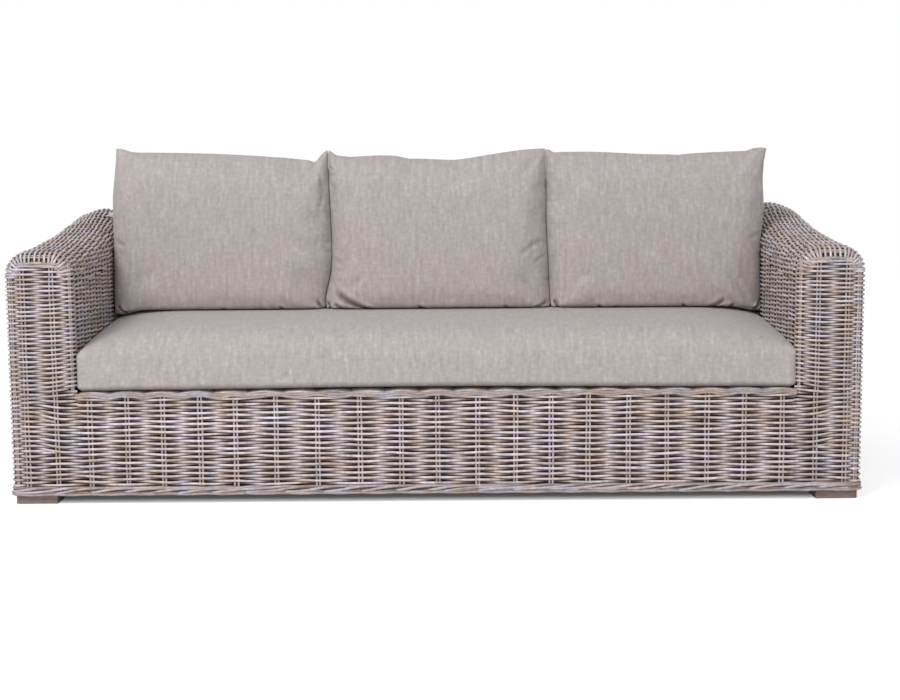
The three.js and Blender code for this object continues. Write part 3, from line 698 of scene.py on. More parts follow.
def base_rows(side, arm, stray):
    """Rows from the bottom border to the deck, along the apron, under the arm and at the rear."""
    way = base_line(side)
    line = way[0]
    arm_start, arm_end = (travel_at(line, (ARM_INNER, y)) for y in (-HALF_DEPTH, HALF_DEPTH))
    short_start = travel_at(line, (SHORT_ROW_START, -HALF_DEPTH))
    for row in range(ARM_ROWS):
        short, level = row in SHORT_ROWS, base_level(row, 0, -1)
        high = level > LEAN_START
        parts = [(short_start if short else arm_start, arm_end, arm),
                 (arm_end, line[2][-1], "back_rear")]
        if not short and level < DECK_HEIGHT - 0.011:
            parts.append((0, arm_start, "apron"))
        for start, stop, piece in parts:

            def height(xy):
                z = base_level(row, *xy.T)
                return z if piece == "apron" else leaning(z, xy)

            tuck = (TUCK if piece == arm and (short or high) else 0,
                    TUCK if piece == "apron" and high else 0)
            lay_row(weaves[piece], way, side, row, start, stop, height, stray, tuck,
                    1.0 if piece == "apron" else 0.95)


def ring_rows(side, arm, stray):
    """Rows above the deck: level ones, a band that follows the arm's rise, and short rows that
    fill the wedge between them."""
    way = ring_line(side)
    ring = way[0]
    end = ring[2][-1]
    inner_corner, rear_corner = (travel_at(ring, (ARM_INNER, y)) for y in (BACK_FACE, HALF_DEPTH))
    cuts = ((0, inner_corner, "back_front"), (inner_corner, rear_corner, arm + "_upper"),
            (rear_corner, end, "back_rear"))
    for row in range(ARM_ROWS, SIDE_ROWS):

        def height(xy):
            if row < BAND_START:
                return leaning(ring_level(row), xy)
            return side_top(xy) - (SIDE_ROWS - row - 0.5) * BAND_PITCH

        for start, stop, piece in cuts:
            lay_row(weaves[piece], way, side, row, start, stop, height, stray, thick=0.9)
    fine = np.linspace(0, end, 1500)
    room = side_top(on_line(ring, fine)[0]) - BAND_ROWS * BAND_PITCH
    before_corner = fine < travel_at(ring, (HALF_WIDTH - 0.05, -HALF_DEPTH))
    for row in range(BAND_START, BAND_START + WEDGE_ROWS):
        level = ring_level(row)
        open_here = room > level + 0.35 * RING_PITCH
        for part in (open_here & before_corner, open_here & ~before_corner):
            low, high = fine[part][[0, -1]] if part.any() else (0, 0)
            for start, stop, piece in cuts:
                a, b = max(start, low), min(stop, high)
                if b - a < 0.02:
                    continue
                tuck = (TUCK if a == low and low > 0 else 0,
                        TUCK if b == high and high < end else 0)
                lay_row(weaves[piece], way, side, row, a, b, lambda xy: level, stray, tuck, 0.9)


def stand_stakes(side, arm):
    """The pairs of upright rods that the rows are woven round, below the deck and above it."""
    for above, (line, places, _) in enumerate((base_line(side), ring_line(side))):
        arms = [travel_at(line, (ARM_INNER, y))
                for y in ((-HALF_DEPTH, BACK_FACE)[above], HALF_DEPTH)]
        for place in places:
            # The stakes on the sofa's middle line stand already, from the right half
            if side < 0 and not 0.02 < place < line[2][-1] - 0.02:
                continue
            spot, _ = on_line(line, np.array([place]))
            if place < arms[0]:
                name = ("apron", "back_front")[above]
            else:
                name = arm + ("", "_upper")[above] if place < arms[1] else "back_rear"
            if not above:
                low = BORDER_BOTTOM + 0.012
                high = DECK_HEIGHT - (0.003 if name == "apron" else 0.01)
            else:
                low = DECK_HEIGHT - 0.01
                facing_front = spot[0, 1] < -HALF_DEPTH + 0.02
                high = (FRONT_HEIGHT - LIP_RADIUS if facing_front else side_top(spot)[0]) + 0.004
            levels = np.linspace(low, high, max(3, int((high - low) / 0.06)))

            def upright(at):
                (x, y), (out_x, out_y) = (pair[0] for pair in on_line(line, np.array([at])))
                sway = 0.0006 * chance.normal(size=len(levels))
                co = stacked(side * (x + sway * abs(out_y)), y + sway * abs(out_x), levels)
                return co, [side * out_x, out_y, 0]

            stakes_of[name].add_stake(place, upright)


def over_top(across, flat):
    """Angle round a rounded top and the way along its flat middle, for a way across it."""
    theta = np.where(across < TOP_ARC, across / EDGE_RADIUS,
                     np.where(across > TOP_ARC + flat, (across - flat) / EDGE_RADIUS, math.pi / 2))
    return theta, np.clip(across - TOP_ARC, 0, flat)


def arm_skin(u, w, side):
    """A point on the rounded top of an arm and its outward normal. u runs over the top from
    the outer side to the inner side, w from the front lip to the rear one."""
    u, w = np.broadcast_arrays(np.asarray(u, float), np.asarray(w, float))
    nearer = np.minimum(np.clip(w, None, LIP_ARC), np.clip(TOP_LENGTH - w, None, LIP_ARC))
    angle = np.clip(nearer, 0, None) / LIP_RADIUS
    inset = LIP_RADIUS * (1 - np.sin(angle)) - np.minimum(nearer, 0)
    step = LIP_RADIUS * (1 - np.cos(angle))
    y = np.where(w < LIP_ARC, -HALF_DEPTH + step,
                 np.where(w > TOP_LENGTH - LIP_ARC, HALF_DEPTH - step,
                          -HALF_DEPTH + LIP_RADIUS + (w - LIP_ARC)))
    theta, shift = over_top(u * (2 * TOP_ARC + ARM_FLAT), ARM_FLAT)
    radius = EDGE_RADIUS - inset
    x = HALF_WIDTH - EDGE_RADIUS - shift + radius * np.cos(theta)
    z = arm_top(y) - EDGE_RADIUS + radius * np.sin(theta)
    off = np.abs(x - ARM_MIDDLE + 0.003)
    hump = HUMP[side] - SHOULDER_DROP * smooth(off / 0.06)
    z = z + hump * np.sin(theta) ** 2 * smooth((y - 0.16) / 0.16)
    slope = (arm_top(y + 0.004) - arm_top(y - 0.004)) / 0.008
    facing = np.cos(angle) * np.where(w < TOP_LENGTH / 2, -1, 1)
    normal = np.stack([np.sin(angle) * np.cos(theta),
                       facing - np.sin(angle) * slope * np.sin(theta),
                       np.sin(angle) * np.sin(theta)], -1)
    normal /= np.linalg.norm(normal, axis=-1)[..., None]
    normal[..., 0] *= side
    return np.stack([side * x, y, z], -1), normal


def close_arm_end(weave, side, end):
    """Rows that close an arm's front or rear face above the sides' rows, and two border strands
    over them."""
    top = FRONT_HEIGHT if end < 0 else BACK_HEIGHT
    insets = np.linspace(0.35, 1, 5) * LIP_RADIUS
    depth = LIP_RADIUS - np.sqrt(LIP_RADIUS ** 2 - (LIP_RADIUS - insets) ** 2)
    first, second = ARM_FRONT_STAKES[side] if end < 0 else sorted(REAR_STAKES[:2])
    level = np.zeros(22)
    for extra in range(4):
        rise = (extra + 0.5) * BAND_PITCH
        reach = np.sqrt(np.maximum((EDGE_RADIUS - insets) ** 2 - rise ** 2, 0))
        outer_x, inner_x = HALF_WIDTH - EDGE_RADIUS + reach, ARM_INNER + EDGE_RADIUS - reach
        middle = np.linspace(outer_x[-1], inner_x[-1], 24)[1:-1]
        x = np.concatenate([outer_x, middle, inner_x[::-1]])
        y = end * (HALF_DEPTH - np.concatenate([depth, level, depth[::-1]]))
        bend = np.concatenate([1 - insets / LIP_RADIUS, level, (insets / LIP_RADIUS - 1)[::-1]])
        outward = stacked(side * bend * 1.2, end, 0)
        co = stacked(side * x, y, top - EDGE_RADIUS + rise)
        weave.add(co, outward, 11 + extra + (x - first) / (second - first), 0.92)
    share = np.linspace(1, -1, 24)
    for drop, reach, girth, tone in ((0.0, 0.062, 1.15, 0.55), (0.0066, 0.060, 1.0, 0.08)):
        x = ARM_MIDDLE + reach * share
        z = top - EDGE_RADIUS + 0.0325 - drop - 0.006 * np.abs(share) ** 5
        z += 0.0010 * np.cos(5.5 * share + drop * 300)
        y = end * (HALF_DEPTH + 0.0052 - 0.009 * np.abs(share) ** 9)
        weave.add(stacked(side * x, y, z), [0, end, 0], 0.5, girth, tone)


def arm_tops():
    """Strands along the rounded tops of the arms, and the rods that they are woven round."""
    girth_round = 2 * TOP_ARC + ARM_FLAT
    count = round(girth_round / TOP_PITCH)
    inner_end = LIP_ARC + (BACK_FACE + HALF_DEPTH - LIP_RADIUS) + 0.02
    whole = spread_turns(TOP_STAKES, -0.007, TOP_LENGTH + 0.007)
    knots = np.linspace(0, TOP_LENGTH, 18)
    for side, arm in SIDES:
        weave, rods = weaves[arm + "_top"], stakes_of[arm + "_top"]
        for i in range(count):
            u = (i + 0.5) / count
            reach = inner_end if u > 0.62 else math.inf
            travel, turns = (values[whole[0] < reach] for values in whole)
            stray = 0.0007 * np.interp(travel, knots, chance.normal(size=len(knots)))
            co, outward = arm_skin(u + stray / girth_round, travel, side)
            co[[0, -1]] -= outward[[0, -1]] * 0.003
            weave.add(co, outward, turns + i, 0.9 + 0.12 * chance.random())
        for place in TOP_STAKES:
            u = np.linspace(-0.03, 1.03 if place < 0.8 else 0.7, 16)

            def across(at):
                co, outward = arm_skin(np.clip(u, 0, 1), at, side)
                co[:, 2] += 0.26 * (np.minimum(u, 0) + np.minimum(1 - u, 0))
                return co, outward

            rods.add_stake(place, across)
        for end in (-1, 1):
            close_arm_end(weave, side, end)


def saddle(x):
    """How far the back's top dips between its own top and an arm's."""
    return DIP * np.exp(-((np.abs(x) - 0.990) / 0.032) ** 2)


def back_skin(across, x):
    """A point on the rounded top of the back and its outward normal."""
    across, x = np.broadcast_arrays(across, x)
    theta, shift = over_top(across, BACK_FLAT)
    y = HALF_DEPTH - EDGE_RADIUS - shift + EDGE_RADIUS * np.cos(theta)
    z = BACK_HEIGHT - EDGE_RADIUS + EDGE_RADIUS * np.sin(theta)
    over = smooth((np.abs(x) - ARM_INNER + 0.01) / (EDGE_RADIUS + 0.01))
    lip = np.clip(y - (HALF_DEPTH - LIP_RADIUS), 0, LIP_RADIUS)
    arm = arm_top(y) - LIP_RADIUS + np.sqrt(LIP_RADIUS ** 2 - lip ** 2)
    z = z + over * (arm - z) - saddle(x) * (theta > 0.4) * (theta < 2.74)
    return np.stack([x, y, z], -1), np.stack([0 * y, np.cos(theta), np.sin(theta)], -1)


def back_top(weave, rods):
    """Strands along the rounded top of the back, running a little way over the arms."""
    girth_round = 2 * TOP_ARC + BACK_FLAT
    count = round(girth_round / TOP_PITCH)
    reach = ARM_INNER + EDGE_RADIUS
    xs = np.array(sorted({s * x for s in (-1, 1) for x in BACK_STAKES} | {-1.02, 1.02}))
    travel, turns = spread_turns(xs, -reach, reach)
    for i in range(count):
        co, outward = back_skin((i + 0.5) / count * girth_round, travel)
        co[[0, -1], 2] -= TUCK
        weave.add(co, outward, turns + i, 0.94 + 0.14 * chance.random())
    for x in xs:
        rods.add_stake(x, lambda at: back_skin(np.linspace(0, girth_round, 14), at))


def deck(weave, rods):
    """The flat weave under the seat cushion."""
    up = (0, 0, 1)
    travel, turns = spread_turns(DECK_STAKES, -ARM_INNER, ARM_INNER)
    for row, y in enumerate(np.arange(-HALF_DEPTH + 0.017, BACK_FACE + 0.004, DECK_PITCH)):
        co = stacked(travel, y + 0.0005 * chance.normal(), DECK_HEIGHT)
        weave.add(co, up, turns + row, 0.95 + 0.1 * chance.random())
    y = np.linspace(-HALF_DEPTH + 0.012, BACK_FACE + 0.01, 9)
    for x in DECK_STAKES:
        rods.add_stake(x, lambda at: (stacked(at, y, DECK_HEIGHT), up))


def deck_border():
    """Strands along the deck's front edge, the upper one arching over every stake."""
    guide = Weave()
    for side in (1, -1):
        travel, turns = spread_turns(np.array(APRON_STAKES[side]), 0, ARM_INNER + 0.004)
        arch = np.cos(math.pi * turns) ** 2
        for low, swell, depth, girth, tone in ((0.2964, 0.0050, 0.0040, 1.12, 0.92),
                                               (0.2900, 0.0062, 0.0034, 1.02, 0.30),
                                               (0.2976, 0.0018, 0.0095, 1.1, 0.86)):
            co = stacked(side * travel, -HALF_DEPTH + depth + 0.0014 * (1 - arch),
                         low + swell * arch)
            # The turn of these laid strands sets only their painted shade in the cane material
            guide.add(co, (0, -1, 0), 0.57, girth, (tone + 0.03 * side) % 1, travel * side + 3)
    return grown("deck_edge_border", guide, STRANDS, LAID, ARM_CANE_PAINTED_DARKER)


def bottom_border():
    """A flat plait round the bottom edge, with two strands that wave along its lower side."""
    left_corners = [(-x, y) for x, y in reversed(OUTER_CORNERS)]
    line = plan_line([(0, -HALF_DEPTH), *OUTER_CORNERS, *left_corners, (0, -HALF_DEPTH)],
                     [CORNER_RADIUS] * 4)
    whole = line[2][-1]
    travel = np.linspace(0, whole, int(whole / 0.012))
    xy, out = on_line(line, travel)
    half_depth = 0.0024
    xy = xy - out * (half_depth + 0.0036)
    co = stacked(*xy.T, BORDER_BOTTOM + 0.0129)
    outward = stacked(*out.T, 0)
    wound, edge = Weave(), Weave()
    wound.add(co, outward, 0.5, 1.0, 0.5, travel)
    # The turn of these laid strands sets only their painted shade in the cane material
    for rise, sway, out_of_plait, turn, tone in ((0.0034, 0.0011, 0.0036, 0.56, 0.05),
                                                 (0.0078, 0.0016, 0.0024, 0.66, 0.92)):
        wave = np.sin(2 * math.pi * travel / (whole / round(whole / 0.104)) + 30 * tone)
        path = co + outward * (out_of_plait + 0.0011 * wave[:, None])
        path[:, 2] = BORDER_BOTTOM + rise + sway * wave
        edge.add(path, outward, turn, 0.88, tone, travel)
    return joined("bottom_plait", [
        grown("bottom_plait", wound, PLAIT, {
            "Strands": 6, "Half height": 0.0094, "Half depth": half_depth,
            "Lay": whole / round(whole / 0.56), "Unevenness": 0.045, "Strand radius": 0.0037,
            "Sides": 8}, BORDER_CANE_PAINTED_DARKER),
        grown("lower_edge", edge, STRANDS, LAID, BORDER_CANE_PAINTED_DARKER)])


def shade_sheet(rows):
    """A thin closed dark sheet of painted shade over rows of points, its face on the side the rows
    turn to.
    """
    rows = np.asarray(rows, float)
    index = np.arange(rows.size // 3).reshape(rows.shape[:2])
    mesh = mesh_of("painted_shade_sheet", rows.reshape(-1, 3).tolist(), quads_of(index).tolist())
    mesh.materials.append(SHADE_SHEET)
    piece = placed("painted_shade_sheet", mesh)
    solid = piece.modifiers.new("sheet", "SOLIDIFY")
    solid.thickness, solid.offset = 0.0005, -1
    return plain(piece)


def shade_sheets():
    """A dark sheet of painted shade close behind each woven face, standing for its shaded inner
    side.
    """
    sheets = []
    for side, _ in SIDES:

        def upright(plan, step, low, high):
            line = plan_line(*plan, step)
            xy = line[0] - line[1] * SHADE_SHEET_DEPTH
            rows = [stacked(side * xy[:, 0], xy[:, 1], z) for z in (low, high(xy, line[1]))]
            sheets.append(shade_sheet(rows if side > 0 else rows[::-1]))

        def ring_high(xy, out):
            high = np.where(xy[:, 0] < ARM_INNER, BACK_HEIGHT, arm_top(xy[:, 1])) - EDGE_RADIUS
            on_arm_end = (np.abs(out[:, 1]) > 0.5) & (xy[:, 0] > ARM_INNER + 0.02)
            return np.where(on_arm_end, high + EDGE_RADIUS - LIP_RADIUS - 0.004, high)

        upright(BASE_PLAN, 0.1, BORDER_TOP - 0.01, lambda xy, out: DECK_HEIGHT - 0.012)
        upright(RING_PLAN, 0.05, DECK_HEIGHT - 0.014, ring_high)
        u, w = np.meshgrid(np.linspace(0, 1, 20), np.linspace(0, TOP_LENGTH, 60), indexing="ij")
        co, outward = arm_skin(u, w, side)
        sheets.append(shade_sheet((co - outward * SHADE_SHEET_DEPTH)[::side]))
    theta = np.linspace(0, math.pi, 15)
    radius = EDGE_RADIUS - SHADE_SHEET_DEPTH
    y = HALF_DEPTH - EDGE_RADIUS - np.where(theta < 1.57, 0, BACK_FLAT) + radius * np.cos(theta)
    z = BACK_HEIGHT - EDGE_RADIUS + radius * np.sin(theta)
    sheets.append(shade_sheet([stacked(x, y, z - 1.1 * saddle(x)) for x in (
        1.018, 0.990, 0.965, 0.930, -0.930, -0.965, -0.990, -1.018)]))
    sheets.append(shade_sheet([
        [(x, y, DECK_HEIGHT - SHADE_SHEET_DEPTH) for x in (-ARM_INNER, ARM_INNER)]
        for y in (-HALF_DEPTH + 0.01, BACK_FACE)]))
    return joined("painted_shade_behind_weave", sheets)


WOVEN = ("apron", "right_arm", "left_arm", "right_arm_upper", "left_arm_upper", "right_arm_top",
         "left_arm_top", "back_rear", "back_front", "deck")
weaves = {name: Weave() for name in WOVEN}
stakes_of = {name: Weave() for name in WOVEN}
base_strays = wander(ARM_ROWS, plan_line(*BASE_PLAN)[2][-1], BASE_STRAY)
ring_strays = wander(SIDE_ROWS + WEDGE_ROWS, plan_line(*RING_PLAN)[2][-1], RING_STRAY)
for side, arm in SIDES:
    base_rows(side, arm, base_strays[side])
    ring_rows(side, arm, ring_strays[side])
    stand_stakes(side, arm)
arm_tops()
back_top(weaves["back_front"], stakes_of["back_front"])
deck(weaves["deck"], stakes_of["deck"])

REPLACED = {"apron": "front_apron_weave", "back": "back_weave", "deck": "seat_deck_weave",
            "right": "right_arm_weave", "left": "left_arm_weave"}
for name in WOVEN:
    # The arms get the copy with painted shade, the other pieces the copy with painted light
    finish = ARM_CANE_PAINTED_DARKER if "arm" in name else CANE_PAINTED_LIGHTER
    sides = {"deck": 4, "back_front": 5}.get(name, 6)
    rows = grown("rows", weaves[name], STRANDS, {**LAID, "Depth": STAKE_DEPTH, "Swing": SWING,
                                                 "Sides": sides}, finish)
    rods = grown("rods", stakes_of[name], STRANDS, {**LAID, "Depth": STAKE_DEPTH,
                                                    "Strand radius": STAKE_RADIUS}, finish)
    piece = joined("woven_" + name, [rows, rods])
    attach(piece, "frame")
    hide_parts(REPLACED[name.split("_")[0]])
for piece, replaced in (
        (bottom_border(), ["bottom_border_" + s for s in ("front", "back", "right", "left")]),
        (deck_border(), ["deck_front_border"])):
    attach(piece, "frame")
    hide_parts(*replaced)
sheet = shade_sheets()
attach(sheet, "frame")


# Cushions
SEAT = {"left": -0.965, "right": 0.965, "front": -0.463, "rear": 0.282, "bottom": 0.306,
        "top": 0.475}
SEAT_SWELL = 0.0035  # how much higher the seat cushion's front half may rise than its rear
BACK_BASE = 0.4753
BACK_TOP = 0.935  # usual height of the back cushions' top seams
BACK_SEAM = 0.048  # how far the back cushions' seams lean back from bottom to top
REST = 0.2942  # the woven back that the cushions lean on
GROOVE_ROOF = 0.4866  # of the groove round a back cushion's zip
GROOVE_FACE = 0.2650  # of the groove round the seat cushion's zip
CLOTH_FRAMES = 20
# Outlines of the back cushions as seen from the front: top edge from left to right, then the
# lines between cushions and the outer sides from the top downwards
TOP_EDGES = {
    "left": [(-0.963, 0.956), (-0.9395, 0.9544), (-0.9128, 0.9458),
             (-0.8949, 0.9436), (-0.826, 0.9428), (-0.7062, 0.9399), (-0.5865, 0.9346),
             (-0.4967, 0.928), (-0.4368, 0.9231), (-0.377, 0.9168), (-0.3621, 0.9092),
             (-0.3468, 0.930), (-0.3285, 0.9462)],
    "centre": [(-0.3255, 0.9477), (-0.3136, 0.9431), (-0.2988, 0.9317), (-0.2569, 0.9264),
               (-0.2029, 0.929), (-0.1669, 0.9308), (-0.119, 0.9284), (-0.0831, 0.9201),
               (-0.0172, 0.9176), (0.0578, 0.9152), (0.1028, 0.9209), (0.1478, 0.928),
               (0.1928, 0.9352), (0.2227, 0.9394), (0.2677, 0.945), (0.3216, 0.9476)],
    "right": [(0.3396, 0.9446), (0.3546, 0.9352), (0.3786, 0.9368), (0.4475, 0.937),
              (0.4925, 0.9361), (0.6124, 0.9293), (0.7264, 0.9246), (0.7922, 0.931),
              (0.8821, 0.9348), (0.933, 0.936), (0.9479, 0.9433), (0.978, 0.9465), (0.996, 0.942)],
}
SIDE_LINES = {
    "outer_left": [(-0.957, 0.950), (-0.958, 0.923), (-0.962, 0.878), (-0.967, 0.834),
                   (-0.970, 0.789), (-0.970, 0.744), (-0.9685, 0.690), (-0.9672, 0.640),
                   (-0.9672, 0.476)],
    "left_centre": [(-0.3265, 0.950), (-0.3219, 0.935), (-0.3227, 0.889), (-0.3207, 0.830),
                    (-0.3184, 0.785), (-0.3174, 0.756), (-0.3139, 0.696), (-0.3130, 0.630),
                    (-0.3173, 0.5765), (-0.3285, 0.5315), (-0.3335, 0.5015), (-0.3325, 0.474)],
    "centre_right": [(0.3276, 0.9435), (0.3291, 0.855), (0.3306, 0.796), (0.3292, 0.736),
                     (0.3322, 0.662), (0.3352, 0.617), (0.3367, 0.557), (0.3398, 0.497),
                     (0.3413, 0.473)],
    "outer_right": [(0.9945, 0.943), (0.990, 0.925), (0.984, 0.894), (0.981, 0.850),
                    (0.979, 0.800), (0.977, 0.740), (0.972, 0.700), (0.9685, 0.660),
                    (0.9672, 0.620), (0.9672, 0.476)],
}
SIDES_OF = {"left": ("outer_left", "left_centre"), "centre": ("left_centre", "centre_right"),
            "right": ("centre_right", "outer_right")}
# Creases in the cushions' fronts: places (x, z) along each, its depth and its half width
CREASES = {
    "left": [
        ([(-0.955, 0.505), (-0.943, 0.485), (-0.931, 0.470)], 0.010, 0.0042),
        ([(-0.470, 0.500), (-0.453, 0.473)], 0.009, 0.0042),
        ([(-0.358, 0.518), (-0.348, 0.495), (-0.334, 0.472)], 0.006, 0.0040),
        ([(-0.963, 0.690), (-0.932, 0.670)], 0.0020, 0.0050),
        ([(-0.347, 0.890), (-0.337, 0.832), (-0.343, 0.787)], 0.0022, 0.0050),
        ([(-0.640, 0.495), (-0.622, 0.472)], 0.005, 0.0045),
    ],
    "centre": [
        ([(-0.312, 0.535), (-0.258, 0.508), (-0.190, 0.478)], 0.009, 0.0055),
        ([(-0.309, 0.506), (-0.270, 0.474)], 0.006, 0.0042),
        ([(-0.326, 0.512), (-0.315, 0.472)], 0.006, 0.0036),
        ([(-0.060, 0.500), (-0.028, 0.474)], 0.009, 0.0045),
        ([(0.258, 0.644), (0.290, 0.667), (0.324, 0.678)], 0.0021, 0.0055),
        ([(0.298, 0.616), (0.328, 0.634)], 0.0017, 0.0050),
        ([(0.200, 0.500), (0.216, 0.472)], 0.008, 0.0042),
        ([(0.298, 0.488), (0.334, 0.506)], 0.005, 0.0040),
        ([(-0.317, 0.632), (-0.288, 0.616)], 0.0020, 0.0050),
    ],
    "right": [
        ([(0.345, 0.515), (0.357, 0.500), (0.366, 0.470)], 0.008, 0.0040),
        ([(0.478, 0.500), (0.496, 0.472)], 0.008, 0.0042),
        ([(0.728, 0.502), (0.748, 0.473)], 0.009, 0.0042),
        ([(0.884, 0.500), (0.868, 0.472)], 0.007, 0.0042),
        ([(0.808, 0.478), (0.836, 0.496), (0.862, 0.513)], 0.005, 0.0050),
        ([(0.945, 0.468), (0.958, 0.486), (0.965, 0.508)], 0.009, 0.0040),
        ([(0.932, 0.681), (0.966, 0.697)], 0.0016, 0.0050),
        ([(0.521, 0.478), (0.549, 0.494)], 0.004, 0.0042),
    ],
}
# Height of the seat cushion's top edge along an arm, from the front backwards
SEAT_EDGE = [(-0.470, 0.409), (-0.428, 0.416), (-0.321, 0.426), (-0.182, 0.435), (-0.084, 0.441),
             (0.103, 0.449), (0.285, 0.452)]


def side_at(name, z):
    line = np.array(SIDE_LINES[name])[::-1]
    return np.interp(z, line[:, 1], line[:, 0])


def top_at(cushion, x):
    line = np.array(TOP_EDGES[cushion])
    return np.interp(x, line[:, 0], line[:, 1])


def spread_shares(count, ends):
    """Shares from -1 to 1 that lie closer together near both ends."""
    even = np.linspace(-1, 1, count + 1)
    return (1 - ends) * even + ends * np.sin(even * math.pi / 2)


def form_mesh(name, points, faces, threads, pinned=None):
    """A mesh object with thread coordinates, and its seam as a group of pinned points."""
    mesh = mesh_of(name, np.asarray(points).tolist(), faces)
    corners = np.empty(len(mesh.loops), np.int32)
    mesh.loops.foreach_get("vertex_index", corners)
    uv = np.asarray(threads)[corners].astype(np.float32)
    mesh.uv_layers.new(name="threads").data.foreach_set("uv", uv.ravel())
    piece = placed(name, mesh)
    if pinned is not None:
        piece.vertex_groups.new(name="seam").add([int(i) for i in pinned], 1.0, "REPLACE")
    return piece


def pillow(name, counts, front, rear):
    """A closed form of two faces that share their outline, with the seam along it pinned."""
    u, v = np.meshgrid(spread_shares(counts[0], 0.7), spread_shares(counts[1], 0.7), indexing="xy")
    points = np.vstack([np.stack(face(u, v), -1).reshape(-1, 3) for face in (front, rear)])
    index = np.arange(u.size).reshape(u.shape)
    quads = quads_of(index)
    edge = np.concatenate([index[0, :-1], index[:-1, -1], index[-1, :0:-1], index[:0:-1, 0]])
    after = np.roll(edge, -1)
    strip = np.stack([after, edge, edge + u.size, after + u.size], -1)
    faces = np.vstack([quads, quads[:, ::-1] + u.size, strip]).tolist()
    return form_mesh(name, points, faces, points[:, [0, 2]], np.concatenate([edge, edge + u.size]))


def rounded_loop(corners, radii, counts):
    """Points of a closed line with rounded corners, and how far along it each lies."""
    corners = np.asarray(corners, float)
    points = []
    for i, (corner, radius) in enumerate(zip(corners, radii)):
        following = (i + 1) % len(corners)
        after = corners[following]
        arc = rounded_corner(corners[i - 1], corner, after, radius, 9)
        nearest = after - towards(corner, after) * radii[following]
        points += [arc, np.linspace(arc[-1], nearest, counts[i] + 1)[1:-1]]
    points = np.vstack(points)
    steps = np.linalg.norm(np.roll(points, -1, axis=0) - points, axis=1)
    return points, np.concatenate([[0], np.cumsum(steps)[:-1]])


def seat_start():
    """The seat cushion before it swells: rounded sections from one end to the other."""
    half = (SEAT["right"] - SEAT["left"]) / 2 + 0.0035
    front, rear = SEAT["front"] - 0.003, SEAT["rear"] + 0.002
    bottom, top, end_radius = SEAT["bottom"] + 0.001, SEAT["top"] - 0.001, 0.018
    edge_line = np.array(SEAT_EDGE)

    def section(x, scale=1.0):
        share = abs(x) / half
        past = np.clip((abs(x) - half + end_radius) / end_radius, 0, 1)
        inset = end_radius * (1 - math.sqrt(1 - past ** 2))
        front_radius = 0.016 + 0.056 * (1 - share ** 12)
        corners = [(front + inset, bottom + inset), (front + inset, top - inset),
                   (rear - inset, top - inset), (rear - inset, bottom + inset)]
        radii = [max(r - inset, 0.003) for r in (0.019, front_radius, 0.030, 0.018)]
        loop, along = rounded_loop(corners, radii, (10, 26, 24, 24))
        slope = np.clip((loop[:, 0] - front) / 0.13, 0, 1)
        middle = top - 0.005 * (1 - smooth(slope))
        ends = np.interp(loop[:, 0], edge_line[:, 0], edge_line[:, 1])
        height = middle + (ends - middle) * share ** 8
        loop[:, 1] = bottom + (loop[:, 1] - bottom) * (height - bottom) / (top - bottom)
        centre = loop.mean(axis=0)
        return centre + (loop - centre) * scale, along

    arc = end_radius * (1 - np.sin(np.radians([0, 18, 36, 54, 72, 90])))
    inner = (half - end_radius) * spread_shares(72, 0.5)
    xs = np.concatenate([-half + arc[:0:-1], inner, half - arc[1:]])
    stations = [(xs[0], scale) for scale in (0.3, 0.62, 0.86)]
    stations += [(x, 1.0) for x in xs] + [(xs[-1], scale) for scale in (0.86, 0.62, 0.3)]
    rings, threads = [], []
    for x, scale in stations:
        loop, along = section(x, scale)
        rings.append(stacked(x, *loop.T))
        threads.append(stacked(x + np.sign(x) * (1 - scale) * 0.08, along))
    around = len(rings[0])
    index = np.arange(len(rings) * around).reshape(len(rings), around)
    after = np.roll(index, -1, axis=1)
    quads = np.stack([index[:-1], index[1:], after[1:], after[:-1]], -1).reshape(-1, 4)
    middles = [rings[0].mean(axis=0), rings[-1].mean(axis=0)]
    faces = quads.tolist()
    faces += [[int(a), int(b), index.size] for a, b in zip(index[0], after[0])]
    faces += [[int(b), int(a), index.size + 1] for a, b in zip(index[-1], after[-1])]
    return form_mesh("seat_cushion_cloth", np.vstack(rings + [middles]), faces,
                     np.vstack(threads + [[t.mean(axis=0) for t in (threads[0], threads[-1])]]))


def drop_at(x):
    """How far the outer bottom corners sink with the seat cushion's falling ends."""
    return 0.019 * smooth((np.abs(x) - 0.85) / 0.11)


def back_start(cushion):
    """A back cushion before it swells: two crowned faces with a seam round their outline."""
    left_name, right_name = SIDES_OF[cushion]

    def face(u, v, way):
        share = (v + 1) / 2
        level = BACK_BASE + share * (BACK_TOP - BACK_BASE)
        left, right = side_at(left_name, level) + 0.0003, side_at(right_name, level) - 0.0003
        x = (left + right) / 2 + u * (right - left) / 2
        z = BACK_BASE + 0.002 + share * (top_at(cushion, x) - 0.0015 - BACK_BASE)
        z += 0.006 * (1 - share) ** 6 * np.abs(u) ** 14 - drop_at(x) * (1 - share) ** 6
        full = np.sqrt((1 - np.abs(u) ** 9) * (1 - np.abs(v) ** np.where(v < 0, 24.0, 4.2)))
        crown = 0.056 if way < 0 else 0.180
        y = BACK_ZIP_PLACE + BACK_SEAM * share + way * (0.003 + crown * full)
        return x, np.minimum(y, REST - 0.002), z

    return pillow("back_cushion_%s_cloth" % cushion, (76, 56),
                  lambda u, v: face(u, v, -1), lambda u, v: face(u, v, 1))


def points_of(mesh):
    co = np.empty(len(mesh.vertices) * 3, np.float32)
    mesh.vertices.foreach_get("co", co)
    return co.reshape(-1, 3).astype(float)


def set_points(piece, co):
    piece.data.vertices.foreach_set("co", co.astype(np.float32).ravel())


